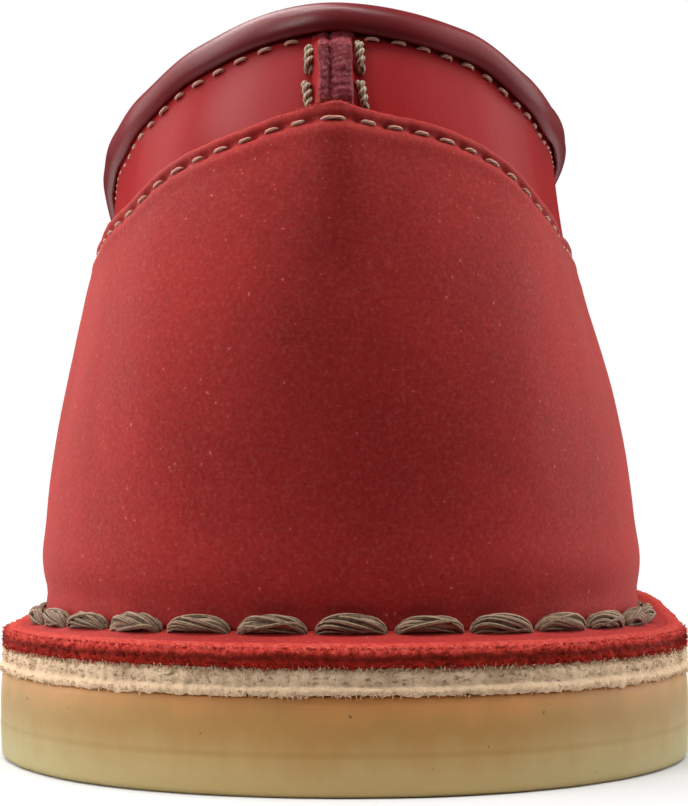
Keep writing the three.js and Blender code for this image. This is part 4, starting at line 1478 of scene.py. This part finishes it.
class SHOE_OT_sole_twine(bpy.types.Operator):
    """Sole twine: heavy waxed stitches along the flange, each a leaf of twisted strands"""

    bl_idname = "shoe.sole_twine"
    bl_label = "Sole twine"

    def execute(self, context):
        sizes = context.scene.shoe_sizes
        v, beyond = twine_line()
        line = on_sole(v, beyond, flange_level(v, beyond) + 0.1)
        run = run_along(line)
        count = round(run[-1] / (sizes.twine_pitch / MM))
        pitch = run[-1] / count
        length = sizes.twine_length / sizes.twine_pitch * pitch
        radius, strands = sizes.twine_radius / MM, sizes.twine_strands
        middle = np.interp(0.0, v, run) + 0.8
        number = np.arange(count)[:, None]
        centres = middle + pitch * (number - count // 2)
        share = np.linspace(-1, 1, 13)
        places = (centres + share[None, :] * length / 2) % run[-1]
        spots = read_along(places, run, line)
        out = read_along(places, run, across(v))
        out = unit(np.concatenate([out, np.zeros_like(out[..., :1])], -1))
        up = np.zeros_like(out)
        up[..., 2] = 1.0
        leaf = np.sqrt(np.maximum(0, 1 - np.abs(share) ** 2.4))
        body = radius * (0.28 + 0.72 * leaf)[None, :] * (1 + 0.08 * np.sin(number * 2.4))
        height = radius * (0.95 * leaf - 0.9 * np.abs(share) ** 6)
        inward = -0.5 * np.abs(share) ** 3
        core = spots + up * height[None, :, None] + out * inward[None, :, None]
        # A plain heart, then strands laid round it; every fourth one crosses over the others.
        paths, normals, radii = [core], [up], [body * 0.66]
        for k in range(strands):
            over = k % 4 == 1
            lay = (-0.3 if over else 0.42) * np.pi * share[None, :]
            turn = 2 * np.pi * k / strands + lay + 1.3 * number + 0.3 * np.sin(1.7 * number + k)
            spoke = up * np.cos(turn)[..., None] + out * np.sin(turn)[..., None]
            paths.append(core + spoke * (body * (0.88 if over else 0.79))[..., None])
            normals.append(spoke)
            radii.append(body * (0.25 + 0.04 * np.sin(2.1 * k)))
        radii = np.concatenate(radii)
        radii[:, 0] = radii[:, -1] = 1e-5
        sheet = tubes(np.concatenate(paths), np.concatenate(normals), radii, 5)
        colours = context.scene.shoe_colours
        # 503E30 is painted shade for the twine's furrows.
        twine = made("waxed_sole_twine", spun_yarn, colours.twine, hexed("#503E30"), 0.0, 0.3)
        make_piece("sole_twine", sheet, [twine], "lace_cord")
        return {"FINISHED"}


class SHOE_OT_seam_twine(bpy.types.Operator):
    """Pale two-ply twine in long stitches beside the back seam"""

    bl_idname = "shoe.seam_twine"
    bl_label = "Back seam twine"

    def execute(self, context):
        radius = context.scene.shoe_sizes.seam_twine_radius / MM
        # side, height of foot and head, distance from the seam at foot and head
        stitches = (
            (-1, 66.9, 70.5, 2.35, 2.75),
            (-1, 71.4, 74.4, 2.4, 2.3),
            (1, 67.2, 70.6, 3.25, 2.75),
            (1, 71.4, 75.0, 2.95, 2.75),
        )
        paths, normals = [], []
        share = np.linspace(0, 1, 33)
        for side, foot_z, head_z, foot_x, head_x in stitches:
            z = foot_z + (head_z - foot_z) * share
            middle = np.zeros_like(z)
            t = at_height(middle, z)
            face = outward(middle, t)
            x = side * (foot_x + (head_x - foot_x) * share)
            dip = np.abs(2 * share - 1) ** 4
            core = off_last(middle, t, QUARTER_OUT + 0.7 - 1.3 * dip)
            core[:, 0] += x
            core[:, 1] += 0.02 * x**2
            beside = np.zeros_like(core)
            beside[:, 0] = 1.0
            for ply in (0, 1):
                turn = np.pi * ply + 2 * np.pi * share * (head_z - foot_z) / 1.7
                spoke = face * np.cos(turn)[:, None] + beside * np.sin(turn)[:, None]
                paths.append(core + spoke * radius * 0.85)
                normals.append(spoke)
        radii = radius * np.sqrt(np.maximum(0, 1 - np.abs(2 * share - 1) ** 8)) + 1e-5
        sheet = tubes(np.array(paths), np.array(normals), radii[None, :], 8)
        colours = context.scene.shoe_colours
        # 80705C is painted shade for the seam twine's furrows.
        twine = made("pale_seam_twine", spun_yarn, colours.seam_twine, hexed("#80705C"), 30.0, 0.5)
        make_piece("seam_twine", sheet, [twine], "lace_cord")
        return {"FINISHED"}


class SHOE_OT_lace(bpy.types.Operator):
    """Lace: a round waxed cord crossed through the eyelets, its ends tucked in at the top pair"""

    bl_idname = "shoe.lace"
    bl_label = "Lace"

    def execute(self, context):
        radius = context.scene.shoe_sizes.lace_radius / MM
        # A bar across the pair nearest the toe, then two runs crossing between each pair and the next.
        runs = [(EYELETS[-1], EYELETS[-1], 0.0)]
        for upper, lower in zip(EYELETS, EYELETS[1:]):
            runs += [(upper, lower, 0.0), (lower, upper, radius * 1.15)]
        paths, normals = [], []
        for start, end, over in runs:
            c = np.linspace(-1, 1, 41)
            y = start + (end - start) * (c + 1) / 2
            v = np.where(c < 0, -1.0, 1.0) * station_of(y)
            reach = np.abs(c) * EYELET_REACH
            t = np.where(reach == 0, 1.0, at_reach(v, reach))
            sag = 1.2 * (1 - smoothstep(reach, 0.0, 7.0))
            height = QUARTER_OUT + 0.4 + radius - sag + over * (1 - c * c) ** 2
            height = height - 0.5 * smoothstep(np.abs(c), 0.72, 0.95)
            path, face = off_last(v, t, height), outward(v, t)
            dive = np.array([1.5, 3.6])
            first = path[0] - face[0] * dive[:, None] + (path[0] - path[1]) * 0.3
            final = path[-1] - face[-1] * dive[:, None] + (path[-1] - path[-2]) * 0.3
            paths.append(np.concatenate([first[::-1], path, final]))
            normals.append(np.concatenate([face[:1], face[:1], face, face[-1:], face[-1:]]))
        paths, normals = np.array(paths), np.array(normals)
        for _ in range(2):
            paths[:, 1:-1] = (paths[:, :-2] + 2 * paths[:, 1:-1] + paths[:, 2:]) / 4
        beside = unit(np.cross(np.gradient(paths, axis=1), normals))
        normals = np.cross(beside, unit(np.gradient(paths, axis=1)))
        radii = np.full(paths.shape[1], radius)
        radii[[0, -1]] = 1e-5
        sheet = tubes(paths, normals, radii[None, :], 14, 0.8)
        colours = context.scene.shoe_colours
        # 3E2A22 is painted shade for the lace's furrows.
        cord = made("waxed_cotton_lace", spun_yarn, colours.lace, hexed("#3E2A22"), 160.0, 0.5)
        make_piece("lace_cord", sheet, [cord], "lace_cord", "lace")
        return {"FINISHED"}


class SHOE_OT_studio(bpy.types.Operator):
    """Pale table, soft lights at both sides, above and ahead, a small one at the left, and the camera"""

    bl_idname = "shoe.studio"
    bl_label = "Studio"

    def execute(self, context):
        scene = context.scene
        scene.view_settings.view_transform = "Standard"
        floor = bmesh.new()
        bmesh.ops.create_grid(floor, x_segments=2, y_segments=2, size=0.5)
        # The table ends just behind the heel, so it throws little light up at it.
        bmesh.ops.scale(floor, verts=floor.verts, vec=(TABLE_WIDTH, TABLE_FRONT - TABLE_BACK, 1.0))
        bmesh.ops.translate(floor, verts=floor.verts, vec=(0.0, (TABLE_FRONT + TABLE_BACK) / 2, 0.0))
        mesh = bpy.data.meshes.new("studio_floor")
        floor.to_mesh(mesh)
        floor.free()
        ground = bpy.data.objects.new("studio_floor", mesh)
        scene.collection.objects.link(ground)
        # Pale paper, flat and matt, so the shoe's soft shadow is all that shows on it.
        paper = Recipe("pale_paper")
        tooth = paper.bump(paper.noise(1.5, 2.0), 0.05, 0.1)
        finish = {"Base Color": hexed("#CACACA"), "Roughness": 0.9, "Specular IOR Level": 0.1}
        mesh.materials.append(paper.give({"Normal": tooth, **finish}))

        world = bpy.data.worlds.new("studio")
        scene.world = world
        world.use_nodes = True
        tree = world.node_tree
        # White behind the shoe, and hardly any light from it.
        seen = add_node(tree, "ShaderNodeLightPath").outputs["Is Camera Ray"]
        strength = add_node(tree, "ShaderNodeMapRange", {"Value": seen, "To Min": 0.03, "To Max": 1.0})
        white = {"Strength": strength.outputs["Result"], "Color": (1.0, 1.0, 1.0, 1.0)}
        feed(tree, tree.nodes["Background"], white)

        heel = Vector((0.0, -0.11, 0.045))
        # name, place, width, height, watts
        lamps = (
            ("left_softbox", (-0.58, 0.02, 0.34), 0.7, 0.7, 5.2),
            ("right_softbox", (0.58, 0.02, 0.32), 0.7, 0.7, 4.4),
            ("high_softbox", (0.0, -0.27, 1.25), 1.4, 0.4, 18.5),
            ("far_softbox", (-0.38, 0.42, 1.1), 0.55, 0.8, 7.0),
            ("left_kicker", (-0.35, -0.56, 0.34), 0.16, 0.3, 1.15),
        )
        for name, place, width, height, watts in lamps:
            light = bpy.data.lights.new(name, "AREA")
            light.shape = "RECTANGLE"
            light.size, light.size_y = width, height
            light.energy = watts
            lamp = bpy.data.objects.new(name, light)
            scene.collection.objects.link(lamp)
            lamp.location = place
            lamp.rotation_mode = "QUATERNION"
            lamp.rotation_quaternion = (heel - Vector(place)).to_track_quat("-Z", "Y")

        sizes = scene.shoe_sizes
        camera = bpy.data.cameras.new("camera")
        camera.lens = SENSOR_MM * FOCAL_PIXELS / PICTURE_HEIGHT
        camera.sensor_width = SENSOR_MM
        camera.clip_start = 0.01
        eye = bpy.data.objects.new("camera", camera)
        scene.collection.objects.link(eye)
        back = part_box("outsole")[0].y
        eye.location = (SHIFT[0] * MM + CAMERA_ASIDE, back - sizes.camera_distance, sizes.camera_height)
        eye.rotation_euler = (math.radians(90 + CAMERA_TILT), 0.0, 0.0)
        scene.camera = eye
        return {"FINISHED"}


class SHOE_PT_pieces(bpy.types.Panel):
    """Lists the shoe's pieces in the order that a maker puts them together"""

    bl_idname = "SHOE_PT_pieces"
    bl_label = "Lace-up shoe"
    bl_space_type = "VIEW_3D"
    bl_region_type = "UI"
    bl_category = "Shoe"

    def draw(self, context):
        for operator in OPERATORS:
            self.layout.operator(operator.bl_idname)
        for group in (context.scene.shoe_sizes, context.scene.shoe_colours):
            for name in group.__annotations__:
                self.layout.prop(group, name)


OPERATORS = (
    SHOE_OT_studio,
    SHOE_OT_crepe_sole,
    SHOE_OT_midsole,
    SHOE_OT_insole,
    SHOE_OT_upper,
    SHOE_OT_raw_flange,
    SHOE_OT_loose_fibres,
    SHOE_OT_quarters,
    SHOE_OT_heel_counter,
    SHOE_OT_collar_binding,
    SHOE_OT_back_seam,
    SHOE_OT_tongue,
    SHOE_OT_stitching,
    SHOE_OT_sole_twine,
    SHOE_OT_seam_twine,
    SHOE_OT_lace,
)
CLASSES = (ShoeSizes, ShoeColours, *OPERATORS, SHOE_PT_pieces)


def register():
    for cls in CLASSES:
        bpy.utils.register_class(cls)
    bpy.types.Scene.shoe_sizes = PointerProperty(type=ShoeSizes)
    bpy.types.Scene.shoe_colours = PointerProperty(type=ShoeColours)


def unregister():
    del bpy.types.Scene.shoe_colours
    del bpy.types.Scene.shoe_sizes
    for cls in reversed(CLASSES):
        bpy.utils.unregister_class(cls)


def main():
    register()
    for operator in OPERATORS:
        group, name = operator.bl_idname.split(".")
        getattr(getattr(bpy.ops, group), name)()


if __name__ == "__main__":
    main()
